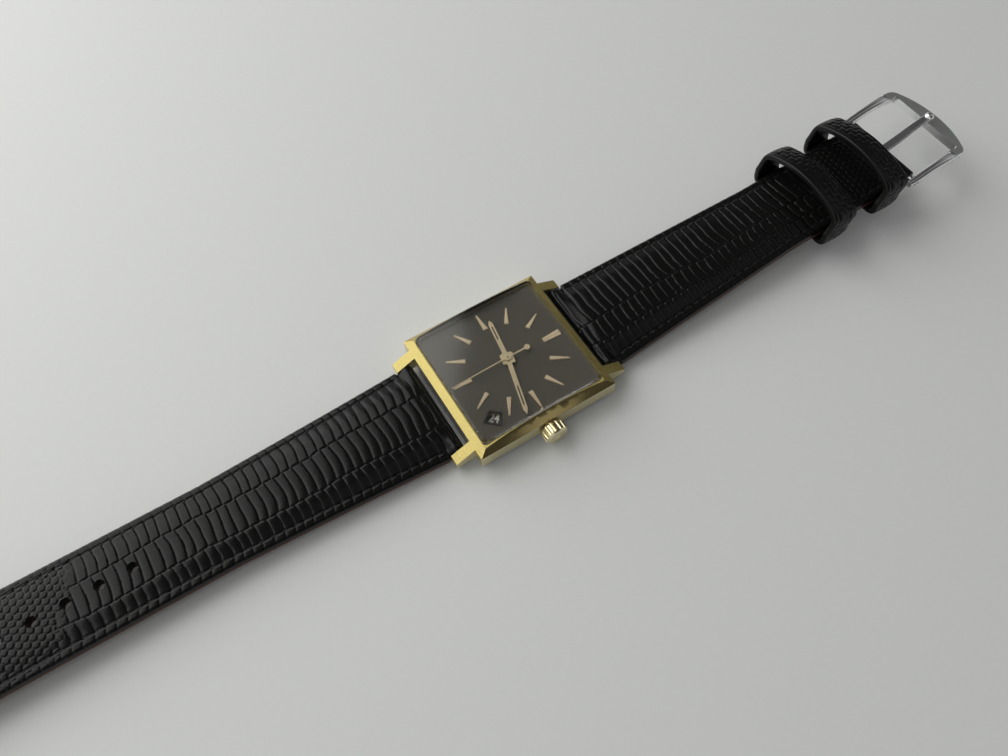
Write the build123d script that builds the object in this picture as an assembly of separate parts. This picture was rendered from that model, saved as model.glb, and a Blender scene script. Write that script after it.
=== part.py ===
from build123d import *
import math
import os

# A square dress watch with a hand-wound date movement, on a padded leather strap with a pin buckle.
# Millimetres. +Z points out of the dial, +X to 3 o'clock and +Y to 12 o'clock.
# The origin is the middle of the case back's rest face, on the dial axis.

# Clearances and overruns
overrun = 1.0
running_gap = 0.03
press_gap = 0.01
seat_gap = 0.05
level_gap = 0.13
soft_gap = 0.3

# Case middle
case_side = 28.0
case_back_height = 1.6
corner_top = 5.3
arch_rise = 1.1
facet_run = 1.5
facet_slope_share = 0.47
bevel_width_corner = 1.15
bevel_width_middle = 1.45
case_bore_radius = 13.35
ledge_thickness = 0.35
bevel_station_shares = (-1.0, -0.5, 0.0, 0.5, 1.0)

# Lugs and spring bars
lug_gap = 19.66
lug_width = 2.0
lug_reach = 3.8
lug_tip_bottom = 1.35
lug_root = 1.4
spring_bar_inset = 1.5
spring_bar_height = 2.4
spring_bar_radius = 0.75
spring_bar_tip_radius = 0.4
spring_bar_tip_length = 1.1

# Case back
back_thickness = 0.55
back_margin = 0.25
back_rest_inset = 1.9
back_flank_height = 1.0
back_corner_radius = 0.8
back_pocket_radius = 12.9
spigot_height = 0.6
spigot_fit = 0.05
gasket_groove_depth = 0.15
gasket_height = 0.25
gasket_inset = 0.2
end_tab_width = 17.9
end_tab_thickness = 0.3
end_tab_height = 2.5
pry_notch_width = 3.0
pry_notch_depth = 0.35

# Crystal
crystal_wall = 0.45
crystal_corner_radius = 1.0
crystal_middle_thickness = 1.45
crystal_arch_sag = 0.8
crystal_cross_sag = 0.25
crystal_rim_radius = 0.4

# Dial, markers and date window
dial_thickness = 0.4
dial_hole_radius = 1.0
dial_foot_radius = 0.45
dial_foot_place_radius = 8.3
dial_foot_bearing = 60.0
marker_inner_radius = 7.55
marker_length = 3.65
marker_wide = 0.95
marker_narrow = 0.35
marker_height = 0.22
marker_flank_angle = 22.0
double_marker_inner = 1.0
double_marker_outer = 1.4
double_marker_groove = 0.1
window_bearing = -43.6
window_inner_edge_radius = 10.44
window_outer_edge_radius = 13.16
window_inner_width = 2.54
window_outer_width = 3.42
window_frame_border = 0.3
window_frame_height = 0.1

# Hands
hand_thickness = 0.12
hand_level_gap = 0.15
hour_hand_length = 8.9
hour_hand_width = 0.85
minute_hand_length = 11.75
minute_hand_width = 0.85
hand_boss_side = 2.3
hand_point_share = 0.09
hand_slot_width = 0.26
hand_slot_start_share = 0.5
hand_slot_end_share = 0.84
boss_notch_side = 0.4
seconds_hand_length = 11.6
seconds_hand_width = 0.28
seconds_tail_length = 4.1
seconds_hub_radius = 0.65
seconds_counterweight_radius = 0.55
hour_hand_clock = 278.75
minute_hand_clock = 105.0
seconds_hand_clock = 180.0

# Movement plate, bridges and ring
plate_radius = 13.25
plate_thickness = 0.65
plate_rim_width = 0.15
plate_rim_height = 0.35
bridge_thickness = 0.4
barrel_bridge_thickness = 0.6
cock_drop = 0.05
bridge_back_gap = 0.2
bridge_edge_inset = 0.25
foot_radius = 1.1
train_foot_share = 0.843
train_foot_bearings = (192.5, 240.5)
barrel_foot_bearings = (25.0, 125.0)
cock_foot_bearing = -5.0
pallet_foot_bearing = 15.0
screw_head_radius = 0.6
screw_head_height = 0.12
screw_shank_radius = 0.3
jewel_radius = 0.5
small_jewel_share = 0.8
pivot_radius = 0.1
ring_wall = 0.3

# Going train
barrel_bearing = 75.0
third_bearing = 200.0
escape_bearing = -60.0
barrel_teeth = 60
centre_pinion_leaves = 10
barrel_module = 0.17
barrel_height = 0.75
barrel_wall = 0.2
barrel_tooth_height = 0.25
barrel_arbor_radius = 1.1
centre_teeth = 64
third_pinion_leaves = 8
centre_module = 0.125
third_teeth = 60
fourth_pinion_leaves = 8
fourth_teeth = 70
escape_pinion_leaves = 7
fourth_module = 0.095
escape_teeth = 15
escape_wheel_radius = 2.4
escape_root_share = 0.8
escape_heel_share = 0.97
escape_tooth_shares = (-0.30, -0.10, 0.10, 0.02)
train_wheel_thickness = 0.12
pinion_overlap = 0.08
wheel_rim_width = 0.4
wheel_hub_radius = 0.55
wheel_spoke_width = 0.35

# Escapement and balance
pallet_distance = 2.8
pallet_bearing = -100.0
balance_distance = 2.7
balance_bearing = -90.0
balance_radius = 3.75
balance_rim_width = 0.45
balance_rim_height = 0.3
balance_arm_width = 0.5
roller_radius = 0.75
roller_pin_radius = 0.07
roller_pin_place_radius = 0.58
pallet_arm_width = 0.35
pallet_half_embrace = 30.0
pallet_notch_share = 1.4
pallet_boss_share = 1.2
pallet_bridge_thickness = 0.2
hairspring_inner_radius = 0.55
hairspring_pitch = 0.27
hairspring_turns = 5
hairspring_strip = 0.06
hairspring_height = 0.12
hairspring_points = 12
regulator_reach_share = 0.7
regulator_bearing = 200.0

# Winding work
ratchet_teeth = 47
crown_wheel_teeth = 24
winding_module = 0.2
ratchet_thickness = 0.25
winding_pinion_teeth = 15
winding_pinion_radius = 1.27
winding_pinion_width = 1.3
winding_tooth_share = 0.2
sliding_pinion_radius = 1.0
sliding_pinion_width = 1.2
sliding_pinion_groove = 0.4
sliding_tooth_share = 0.15
sliding_groove_share = 0.75
clutch_gap = 0.1
stem_drop = 0.3
stem_radius = 0.45
stem_square_side = 0.6
stem_pivot_length = 0.8
stem_groove_share = 0.6
setting_groove_width = 0.7
crown_pull_travel = 0.9
click_bearing = 160.0
click_nose_bearing = 148.0
click_spring_bearings = (205.0, 150.0, 80.0)

# Motion work and date
motion_module = 0.15
cannon_leaves = 10
minute_wheel_teeth = 30
minute_pinion_leaves = 8
hour_wheel_teeth = 32
motion_bearing = -40.0
motion_wheel_thickness = 0.1
seconds_arbor_radius = 0.16
centre_arbor_bore_radius = 0.2
centre_arbor_radius = 0.38
cannon_radius = 0.575
hour_tube_radius = 0.88
date_days = 31
date_ring_inner_radius = 10.4
date_ring_outer_radius = 13.0
date_ring_thickness = 0.2
date_tooth_depth = 0.35
date_tooth_share = 0.5
date_plate_radius = 10.7
date_plate_thickness = 0.15
date_plate_step_radius = 9.8
date_plate_step_width = 0.6
dial_underside_gap = 0.3

# Crown and its tube
crown_radius = 2.2
crown_length = 2.3
crown_flutes = 14
crown_flute_radius = 0.34
crown_flute_depth = 0.24
crown_standoff = 0.35
crown_skirt_depth = 0.7
crown_edge_chamfer = 0.3
crown_dome_rise = 0.12
tube_radius = 0.95
tube_bore_radius = 0.5
tube_stand = 0.6

# Strap
strap_tilt_12 = 4.1
strap_tilt_6 = 1.2
strap_under_drop = 1.3
lining_thickness = 0.7
strap_neck_width = 19.2
strap_neck_end = 1.9
neck_step = 0.15
strap_shoulder_width = 20.3
strap_end_thickness = 3.1
strap_edge_thickness = 1.7
strap_far_thickness = 2.2
strap_thinning_shares = (0.0, 0.45, 0.8, 1.0)
strap_far_edge_share = 0.8
buckle_taper_share = 0.6
buckle_reach = 73.7
buckle_loop_bulge = 0.12
buckle_width = 16.4
tail_reach = 109.7
tail_width = 16.2
tail_taper_end = 41.0
tail_point_length = 12.0
tail_point_radius = 2.5
tail_bulge_shares = (0.8, 0.55)
tail_tip_shares = (0.8, 0.3)
hole_first = 55.2
hole_pitch = 5.5
hole_count = 7
hole_radius = 0.95
strap_loop_radius = 1.45

# Keepers
keeper_width = 6.6
keeper_leather = 1.2
keeper_side_gap = 1.15
keeper_head_room = 5.0
keeper_arch_sag = 2.1
keeper_lean = 2.2
keeper_bow = 0.5
keeper_crown_radius = 2.2
keeper_foot_radius = 0.5
free_keeper_setback = 20.5
fixed_keeper_setback = 7.5

# Buckle
buckle_bar_radius = 0.6
buckle_outer_width = 20.8
buckle_inner_width = 17.2
buckle_window_length = 11.8
buckle_leg_length = 2.4
buckle_bow_side = 0.6
buckle_bow_sag = 1.4
buckle_bow_thickness = 1.5
buckle_bow_pitch = 9.0
buckle_corner_radius = 2.4
buckle_window_radius = 0.5
buckle_edge_radius = 0.35
buckle_arch_rise = 1.0
arm_tail = 1.3
arm_station_shares = (0.0, 0.3, 0.65, 1.0)
arm_width_shares = (0.84, 0.9, 1.0, 0.98)
arm_rise_shares = (0.0, 0.6, 0.98, 1.0)
arm_height = 1.9
arm_tail_shares = (0.75, 0.7)
arm_corner_share = 0.42
tongue_width = 2.0
tongue_tip_width = 1.7
tongue_thickness = 0.9
tongue_ball_radius = 1.0
tongue_ball_overlap = 0.35
tongue_collar_radius = 1.15
tongue_slot_gap = 0.3
tongue_station_shares = (0.04, 0.35, 0.72)
tongue_rise_shares = (0.0, 0.35, 1.0)
tongue_width_shares = (1.0, 1.0, 0.9)
tongue_corner_share = 0.4

# Tooth form, in modules and in shares of the tooth pitch
addendum_share = 0.85
dedendum_share = 1.2
tooth_tip_share = 0.18
tooth_root_share = 0.52

# Heights worked out from the case back upwards
train_bridge_low = back_thickness + bridge_back_gap
train_bridge_high = train_bridge_low + bridge_thickness
ratchet_low = train_bridge_high + level_gap
ratchet_high = ratchet_low + ratchet_thickness
barrel_bridge_low = ratchet_high + seat_gap
barrel_bridge_high = barrel_bridge_low + barrel_bridge_thickness
fourth_low = barrel_bridge_low + seat_gap
fourth_high = fourth_low + train_wheel_thickness
third_low = fourth_high + level_gap
third_high = third_low + train_wheel_thickness
centre_low = third_high + level_gap
centre_high = centre_low + train_wheel_thickness
escape_low = centre_high + level_gap
escape_high = escape_low + train_wheel_thickness
barrel_low = max(barrel_bridge_high, centre_high) + seat_gap
barrel_high = barrel_low + barrel_height
plate_low = max(barrel_high, escape_high) + seat_gap
plate_high = plate_low + plate_thickness
minute_wheel_low = plate_high + seat_gap
minute_wheel_high = minute_wheel_low + motion_wheel_thickness
hour_wheel_low = minute_wheel_high + seat_gap
hour_wheel_high = hour_wheel_low + motion_wheel_thickness
date_plate_low = hour_wheel_high + seat_gap
date_plate_high = date_plate_low + date_plate_thickness
date_ring_low = plate_high + seat_gap
date_ring_high = date_ring_low + date_ring_thickness
dial_low = date_plate_high + dial_underside_gap
dial_high = dial_low + dial_thickness
hour_hand_low = dial_high + marker_height + seat_gap
hour_hand_high = hour_hand_low + hand_thickness
minute_hand_low = hour_hand_high + hand_level_gap
minute_hand_high = minute_hand_low + hand_thickness
seconds_hand_low = minute_hand_high + hand_level_gap
seconds_hand_high = seconds_hand_low + hand_thickness
crystal_underside = seconds_hand_high + hand_level_gap
crystal_top = crystal_underside + crystal_middle_thickness
ledge_low = max(plate_high + plate_rim_height, date_ring_high) + seat_gap
ledge_high = ledge_low + ledge_thickness
stem_height = plate_low - stem_drop

# Places worked out from the sizes above
case_half = case_side / 2
aperture_half = case_half - facet_run
arch_middle_top = corner_top + arch_rise
wall_top = corner_top - facet_run * facet_slope_share
crystal_half = case_half - bevel_width_middle - seat_gap
cavity_half = crystal_half - crystal_wall
dial_half = cavity_half - seat_gap
lug_tip = case_half + lug_reach
lug_inner = lug_gap / 2
spring_bar_reach = lug_tip - spring_bar_inset
barrel_distance = barrel_module * (barrel_teeth + centre_pinion_leaves) / 2
third_distance = centre_module * (centre_teeth + third_pinion_leaves) / 2
third_module = 2 * third_distance / (third_teeth + fourth_pinion_leaves)
escape_distance = fourth_module * (fourth_teeth + escape_pinion_leaves) / 2
motion_distance = motion_module * (cannon_leaves + minute_wheel_teeth) / 2
winding_distance = winding_module * (ratchet_teeth + crown_wheel_teeth) / 2
seconds_turn = -seconds_hand_clock
minute_turn = -minute_hand_clock
hour_turn = -hour_hand_clock


def polar(radius, bearing):
    return (radius * math.cos(math.radians(bearing)), radius * math.sin(math.radians(bearing)))


def beyond(start, distance, bearing):
    step = polar(distance, bearing)
    return (start[0] + step[0], start[1] + step[1])


barrel_place = polar(barrel_distance, barrel_bearing)
third_place = polar(third_distance, third_bearing)
escape_place = polar(escape_distance, escape_bearing)
minute_place = polar(motion_distance, motion_bearing)
pallet_place = beyond(escape_place, pallet_distance, pallet_bearing)
balance_place = beyond(pallet_place, balance_distance, balance_bearing)
crown_wheel_x = barrel_place[0] + math.sqrt(winding_distance ** 2 - barrel_place[1] ** 2)
crown_wheel_place = (crown_wheel_x, 0)
winding_pinion_start = crown_wheel_x + winding_module * crown_wheel_teeth / 2 - winding_pinion_width / 3
sliding_pinion_start = winding_pinion_start - clutch_gap - sliding_pinion_width - crown_pull_travel
centre_place = (0, 0)
train_foot_places = [polar(train_foot_share * plate_radius, bearing) for bearing in train_foot_bearings]
free_keeper_place = buckle_reach - free_keeper_setback
fixed_keeper_place = buckle_reach - fixed_keeper_setback


# Shapes used again and again

def disc(place, radius, low, high):
    return Pos(place[0], place[1], low) * extrude(Circle(radius), amount=high - low)


def tube(place, outer, inner, low, high):
    return Pos(place[0], place[1], low) * extrude(Circle(outer) - Circle(inner), amount=high - low)


def gear_outline(teeth, module, turn):
    tip = module * (teeth / 2 + addendum_share)
    root = module * (teeth / 2 - dedendum_share)
    pitch = 360 / teeth
    points = []
    for tooth in range(teeth):
        middle = turn + tooth * pitch
        points.append(polar(root, middle - tooth_root_share * pitch / 2))
        points.append(polar(tip, middle - tooth_tip_share * pitch / 2))
        points.append(polar(tip, middle + tooth_tip_share * pitch / 2))
        points.append(polar(root, middle + tooth_root_share * pitch / 2))
    return Polygon(*points, align=None)


def gear(place, teeth, module, turn, low, high):
    return Pos(place[0], place[1], low) * extrude(gear_outline(teeth, module, turn), amount=high - low)


def mesh_turn(teeth, turn, mate_teeth, bearing):
    """The turn of a mate whose gap meets the tooth of a gear on the line between their centres."""
    along = (bearing - turn) * teeth / 360
    return bearing + 180 - (0.5 - along) * 360 / mate_teeth


def hull_plate(circles, low, high):
    outline = Sketch()
    for place, radius in circles:
        outline += Pos(place[0], place[1]) * Circle(radius)
    return Pos(0, 0, low) * extrude(make_hull(outline.edges()), amount=high - low)


def spoke_windows(outer, inner, spoke_width, turn, spokes):
    windows = Circle(outer) - Circle(inner)
    for spoke in range(spokes // 2):
        windows -= Rot(0, 0, turn + spoke * 360 / spokes) * Rectangle(2 * outer, spoke_width)
    return windows


def spoked_wheel(place, teeth, module, turn, low, high):
    rim = module * (teeth / 2 - dedendum_share) - wheel_rim_width
    windows = spoke_windows(rim, wheel_hub_radius, wheel_spoke_width, turn, 4)
    outline = gear_outline(teeth, module, turn) - windows
    return Pos(place[0], place[1], low) * extrude(outline, amount=high - low)


def cross_section(place_y):
    return Plane(origin=(0, place_y, 0), x_dir=(1, 0, 0), z_dir=(0, -1, 0))


# The turns that put each pair of wheels in mesh at rest

centre_turn = 0.0
centre_pinion_turn = centre_turn
third_pinion_turn = mesh_turn(centre_teeth, centre_turn, third_pinion_leaves, third_bearing)
third_turn = third_pinion_turn
fourth_pinion_turn = mesh_turn(third_teeth, third_turn, fourth_pinion_leaves, third_bearing + 180)
fourth_turn = fourth_pinion_turn
escape_pinion_turn = mesh_turn(fourth_teeth, fourth_turn, escape_pinion_leaves, escape_bearing)
barrel_turn = mesh_turn(centre_pinion_leaves, centre_pinion_turn, barrel_teeth, barrel_bearing)
minute_wheel_turn = mesh_turn(cannon_leaves, centre_turn, minute_wheel_teeth, motion_bearing)
hour_wheel_turn = mesh_turn(minute_pinion_leaves, minute_wheel_turn, hour_wheel_teeth, motion_bearing + 180)
ratchet_turn = 0.0
winding_bearing = math.degrees(math.atan2(-barrel_place[1], crown_wheel_x - barrel_place[0]))
crown_wheel_turn = mesh_turn(ratchet_teeth, ratchet_turn, crown_wheel_teeth, winding_bearing)


# Case

def arch_height(place_y):
    radius = (aperture_half ** 2 + arch_rise ** 2) / (2 * arch_rise)
    return arch_middle_top - radius + math.sqrt(radius ** 2 - place_y ** 2)


def side_bevel_section(place_y):
    """The region outside the bevelled flank of the 3 o'clock side, at one place along the side."""
    share = (place_y / aperture_half) ** 2
    width = bevel_width_middle + (bevel_width_corner - bevel_width_middle) * share
    rise = arch_height(place_y) - wall_top
    return cross_section(place_y) * Polygon(
        (case_half, wall_top),
        (case_half + overrun, wall_top),
        (case_half + overrun, wall_top + 2 * rise),
        (case_half - 2 * width, wall_top + 2 * rise),
        align=None,
    )


def side_bevel():
    stations = [aperture_half * share for share in bevel_station_shares]
    middle = loft([side_bevel_section(place) for place in stations])
    end_section = side_bevel_section(aperture_half)
    end = extrude(end_section, amount=facet_run + overrun, dir=(0, 1, 0))
    return middle + end + mirror(end, about=Plane.XZ)


def case_body():
    middle_top = (0, arch_middle_top)
    outline = make_face(
        Polyline(
            (-aperture_half, corner_top),
            (-case_half, wall_top),
            (-case_half, case_back_height),
            (case_half, case_back_height),
            (case_half, wall_top),
            (aperture_half, corner_top),
        )
        + ThreePointArc((aperture_half, corner_top), middle_top, (-aperture_half, corner_top))
    )
    body = extrude(Plane.YZ * outline, amount=case_half, both=True)
    bevel = side_bevel()
    return body - bevel - mirror(bevel, about=Plane.YZ)


def lug():
    root = case_half - lug_root
    root_top = corner_top - (root - aperture_half) * facet_slope_share
    tip_top = corner_top - (lug_tip - aperture_half) * facet_slope_share
    outline = Polygon(
        (root, case_back_height),
        (case_half, case_back_height),
        (lug_tip, lug_tip_bottom),
        (lug_tip, tip_top),
        (root, root_top),
        align=None,
    )
    arm = Pos(lug_inner, 0, 0) * extrude(Plane.YZ * outline, amount=lug_width)
    hole_depth = spring_bar_tip_length + running_gap
    hole = extrude(Plane.YZ * Circle(spring_bar_tip_radius + running_gap), amount=hole_depth)
    return arm - Pos(lug_inner, spring_bar_reach, spring_bar_height) * hole


def four_corners(piece):
    pair = [piece, mirror(piece, about=Plane.YZ)]
    return pair + [mirror(each, about=Plane.XZ) for each in pair]


def rounded_square(half, radius, low, high):
    return Pos(0, 0, low) * extrude(RectangleRounded(2 * half, 2 * half, radius), amount=high - low)


def end_tab(extra, top):
    depth = end_tab_thickness + extra + overrun
    middle = case_half - end_tab_thickness - extra + depth / 2
    height = top - case_back_height
    tab = Box(end_tab_width + 2 * extra, depth, height)
    return Pos(0, middle, case_back_height + height / 2) * tab


def case_middle():
    body = case_body()
    for each in four_corners(lug()):
        body += each
    body -= disc(centre_place, case_bore_radius, case_back_height - overrun, ledge_low)
    body -= rounded_square(cavity_half, crystal_corner_radius, ledge_low - overrun, ledge_high + overrun)
    seat_half = crystal_half + running_gap
    body -= rounded_square(seat_half, crystal_corner_radius, ledge_high, arch_middle_top + overrun)
    tab_top = case_back_height + end_tab_height + running_gap
    recess = end_tab(running_gap, tab_top)
    body -= recess
    body -= mirror(recess, about=Plane.XZ)
    tube_hole = extrude(Plane.YZ * Circle(tube_radius), amount=case_half)
    body -= Pos(case_bore_radius - overrun, 0, stem_height) * tube_hole
    return body


def case_back():
    half = case_half - back_margin
    rest_side = 2 * (half - back_rest_inset)
    rest = Plane.XY * RectangleRounded(rest_side, rest_side, back_corner_radius)
    flank_top = Plane.XY.offset(back_flank_height) * RectangleRounded(2 * half, 2 * half, back_corner_radius)
    plate = loft([rest, flank_top], ruled=True)
    plate += rounded_square(half, back_corner_radius, back_flank_height, case_back_height)
    plate += tube(
        centre_place,
        case_bore_radius - spigot_fit,
        back_pocket_radius,
        back_flank_height,
        case_back_height + spigot_height,
    )
    tab_height = end_tab_height + case_back_height - back_flank_height
    tab_y = case_half - end_tab_thickness / 2
    tab = Box(end_tab_width, end_tab_thickness, tab_height)
    tab = Pos(0, tab_y, back_flank_height + tab_height / 2) * tab
    plate += tab
    plate += mirror(tab, about=Plane.XZ)
    plate -= disc(centre_place, back_pocket_radius, back_thickness, case_back_height + overrun)
    groove_low = case_back_height + gasket_inset
    groove_inner = case_bore_radius - spigot_fit - gasket_groove_depth
    groove_high = groove_low + gasket_height
    plate -= tube(centre_place, case_bore_radius + overrun, groove_inner, groove_low, groove_high)
    notch = Box(pry_notch_depth * 2, pry_notch_width, back_flank_height)
    plate -= Pos(-half, 0, case_back_height) * notch
    return plate


def case_back_gasket():
    low = case_back_height + gasket_inset
    high = low + gasket_height
    inner = case_bore_radius - spigot_fit - gasket_groove_depth
    return tube(centre_place, case_bore_radius - press_gap, inner, low + running_gap, high - running_gap)


def crown_tube():
    start = case_bore_radius + running_gap
    length = case_half + tube_stand - start
    wall = extrude(Plane.YZ * (Circle(tube_radius) - Circle(tube_bore_radius)), amount=length)
    return Pos(start, 0, stem_height) * wall


def crystal():
    arch_radius = (crystal_half ** 2 + crystal_arch_sag ** 2) / (2 * crystal_arch_sag)
    reach = crystal_half + overrun
    side_top = crystal_top - crystal_cross_sag
    floor = ledge_high - arch_rise - crystal_arch_sag
    section = make_face(
        Polyline((-reach, side_top), (-reach, floor), (reach, floor), (reach, side_top))
        + ThreePointArc((reach, side_top), (0, crystal_top), (-reach, side_top))
    )
    swing = 2 * math.degrees(math.asin(reach / arch_radius))
    axis = Axis((0, 0, crystal_top - arch_radius), (1, 0, 0))
    barrel = revolve(Plane.XZ * section, axis=axis, revolution_arc=swing)
    barrel = barrel.rotate(axis, -swing / 2)
    block = rounded_square(crystal_half, crystal_corner_radius, ledge_high, crystal_top + overrun)
    dome = block & barrel
    rim = dome.faces().sort_by(Axis.Z)[-1].edges()
    dome = fillet(rim, radius=crystal_rim_radius)
    return dome - rounded_square(cavity_half, crystal_corner_radius, ledge_high - overrun, crystal_underside)


# Dial

def window_outline(border):
    half_inner = window_inner_width / 2 - border
    half_outer = window_outer_width / 2 - border
    return Rot(0, 0, window_bearing) * Polygon(
        (window_inner_edge_radius + border, -half_inner),
        (window_outer_edge_radius - border, -half_outer),
        (window_outer_edge_radius - border, half_outer),
        (window_inner_edge_radius + border, half_inner),
        align=None,
    )


def dial_foot_places():
    return [polar(dial_foot_place_radius, dial_foot_bearing + half_turn) for half_turn in (0, 180)]


def dial():
    outline = RectangleRounded(2 * dial_half, 2 * dial_half, crystal_corner_radius) - Circle(dial_hole_radius)
    outline -= window_outline(window_frame_border)
    plate = Pos(0, 0, dial_low) * extrude(outline, amount=dial_thickness)
    foot_low = plate_high - plate_thickness / 2
    for place in dial_foot_places():
        plate += disc(place, dial_foot_radius, foot_low, dial_low + dial_thickness / 2)
    return plate


def wedge(start, length, inner_width, outer_width):
    outline = Polygon(
        (start, -inner_width / 2),
        (start + length, -outer_width / 2),
        (start + length, outer_width / 2),
        (start, inner_width / 2),
        align=None,
    )
    return Pos(0, 0, dial_high) * extrude(outline, amount=marker_height, taper=marker_flank_angle)


def hour_markers():
    markers = []
    for hour in range(1, 12):
        marker = wedge(marker_inner_radius, marker_length, marker_wide, marker_narrow)
        markers.append(Rot(0, 0, 90 - hour * 30) * marker)
    double = wedge(marker_inner_radius, marker_length, double_marker_inner, double_marker_outer)
    groove_middle = marker_inner_radius + marker_length / 2
    groove = Box(marker_length + overrun, double_marker_groove, marker_height)
    double -= Pos(groove_middle, 0, dial_high + marker_height) * groove
    markers.append(Rot(0, 0, 90) * double)
    return Compound(markers)


def date_window_frame():
    border = window_outline(0) - window_outline(window_frame_border)
    return Pos(0, 0, dial_high) * extrude(border, amount=window_frame_height)


# Hands

def pencil_hand(length, width, bore, low, turn):
    point = length * hand_point_share
    blade = Polygon(
        (0, -width / 2),
        (length - point, -width / 2),
        (length, 0),
        (length - point, width / 2),
        (0, width / 2),
        align=None,
    )
    outline = blade + Rectangle(hand_boss_side, hand_boss_side)
    slot_start = length * hand_slot_start_share
    slot_end = length * hand_slot_end_share
    outline -= Pos((slot_start + slot_end) / 2, 0) * Rectangle(slot_end - slot_start, hand_slot_width)
    notch_place = hand_boss_side / 2
    for side in (-1, 1):
        outline -= Pos(-notch_place, side * notch_place) * Rectangle(boss_notch_side, boss_notch_side)
    outline -= Circle(bore)
    return Pos(0, 0, low) * extrude(Rot(0, 0, 90 + turn) * outline, amount=hand_thickness)


def hour_hand():
    return pencil_hand(hour_hand_length, hour_hand_width, hour_tube_radius, hour_hand_low, hour_turn)


def minute_hand():
    return pencil_hand(minute_hand_length, minute_hand_width, cannon_radius, minute_hand_low, minute_turn)


def seconds_hand():
    needle = Polygon(
        (-seconds_tail_length, -seconds_hand_width / 2),
        (seconds_hand_length, -seconds_hand_width / 4),
        (seconds_hand_length, seconds_hand_width / 4),
        (-seconds_tail_length, seconds_hand_width / 2),
        align=None,
    )
    outline = needle + Circle(seconds_hub_radius)
    outline += Pos(-seconds_tail_length, 0) * Circle(seconds_counterweight_radius)
    outline -= Circle(seconds_arbor_radius)
    outline = Rot(0, 0, 90 + seconds_turn) * outline
    return Pos(0, 0, seconds_hand_low) * extrude(outline, amount=hand_thickness)


# Movement plate and bridges

def stem_channel():
    """The groove and windows that the stem and its two pinions need."""
    start = sliding_pinion_start - stem_pivot_length
    groove = extrude(Plane.YZ * Circle(stem_radius + seat_gap), amount=case_half - start)
    channel = Pos(start, 0, stem_height) * groove
    for pinion_start, width, radius in (
        (sliding_pinion_start, winding_pinion_start - sliding_pinion_start, sliding_pinion_radius),
        (winding_pinion_start, winding_pinion_width, winding_pinion_radius),
    ):
        window = extrude(Plane.YZ * Circle(radius + seat_gap), amount=width + 2 * seat_gap)
        channel += Pos(pinion_start - seat_gap, 0, stem_height) * window
    return channel


def setting_lever_places():
    pivot = (winding_pinion_start + winding_pinion_width + setting_groove_width, 3 * sliding_pinion_radius)
    return pivot, (pivot[0], 0)


def yoke_places():
    groove = sliding_pinion_start + crown_pull_travel + sliding_pinion_width / 2
    return (groove, 4 * sliding_pinion_radius), (groove, sliding_pinion_radius / 2)


def keyless_recess():
    lever_pivot, lever_nose = setting_lever_places()
    yoke_pivot, yoke_nose = yoke_places()
    low = plate_low + plate_thickness / 2
    size = foot_radius
    inner_nose = (yoke_nose[0] - crown_pull_travel, yoke_nose[1])
    area = [(lever_pivot, size), (lever_nose, size), (yoke_pivot, size), (inner_nose, size)]
    return hull_plate(area, low, plate_high + overrun)


def setting_post_radius():
    return (setting_groove_width / 2 - running_gap) / 2


def setting_slot():
    nose = setting_lever_places()[1]
    reach = setting_post_radius() + seat_gap
    length = crown_pull_travel + 2 * reach
    height = plate_thickness + stem_drop
    middle = nose[0] - reach + length / 2
    return Pos(middle, 0, stem_height + height / 2) * Box(length, 2 * reach + level_gap, height)


def main_plate():
    plate = disc(centre_place, plate_radius, plate_low, plate_high)
    rim_inner = plate_radius - plate_rim_width
    plate += tube(centre_place, plate_radius, rim_inner, plate_high, plate_high + plate_rim_height)
    plate -= keyless_recess()
    plate -= setting_slot()
    plate -= stem_channel()
    plate -= disc(centre_place, centre_arbor_radius + running_gap, plate_low - overrun, plate_high + overrun)
    for place, radius, low, high in jewel_places():
        if low >= plate_low:
            plate -= disc(place, radius, plate_low - overrun, plate_high + overrun)
    for place in dial_foot_places():
        plate -= disc(place, dial_foot_radius + running_gap, plate_low - overrun, plate_high + overrun)
    for place, head_low, tip in screw_places():
        plate -= disc(place, screw_shank_radius, plate_low - overrun, tip)
    plate += disc(minute_place, cannon_radius / 2, plate_high - seat_gap, hour_wheel_high)
    return plate


def barrel_foot_places():
    reach = back_pocket_radius - bridge_edge_inset - foot_radius
    return [polar(reach, bearing) for bearing in barrel_foot_bearings]


def train_bridge():
    boss = 2 * jewel_radius
    first, second = train_foot_places
    circles = [(centre_place, boss), (third_place, boss), (escape_place, boss)]
    circles += [(first, foot_radius), (second, foot_radius)]
    bridge = hull_plate(circles, train_bridge_low, train_bridge_high)
    for place in train_foot_places:
        bridge += disc(place, foot_radius, train_bridge_low, plate_low)
    bridge -= bridge_holes(train_bridge_low, train_bridge_high)
    return bridge


def bridge_holes(low, high):
    """Every screw hole, and the jewel holes whose jewel sits between two levels."""
    holes = []
    for place, head_low, tip in screw_places():
        holes.append(disc(place, screw_shank_radius, low - overrun, plate_low + seat_gap))
    for place, radius, jewel_low, jewel_high in jewel_places():
        if low <= jewel_low < high:
            holes.append(disc(place, radius, low - overrun, high + overrun))
    return holes


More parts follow.
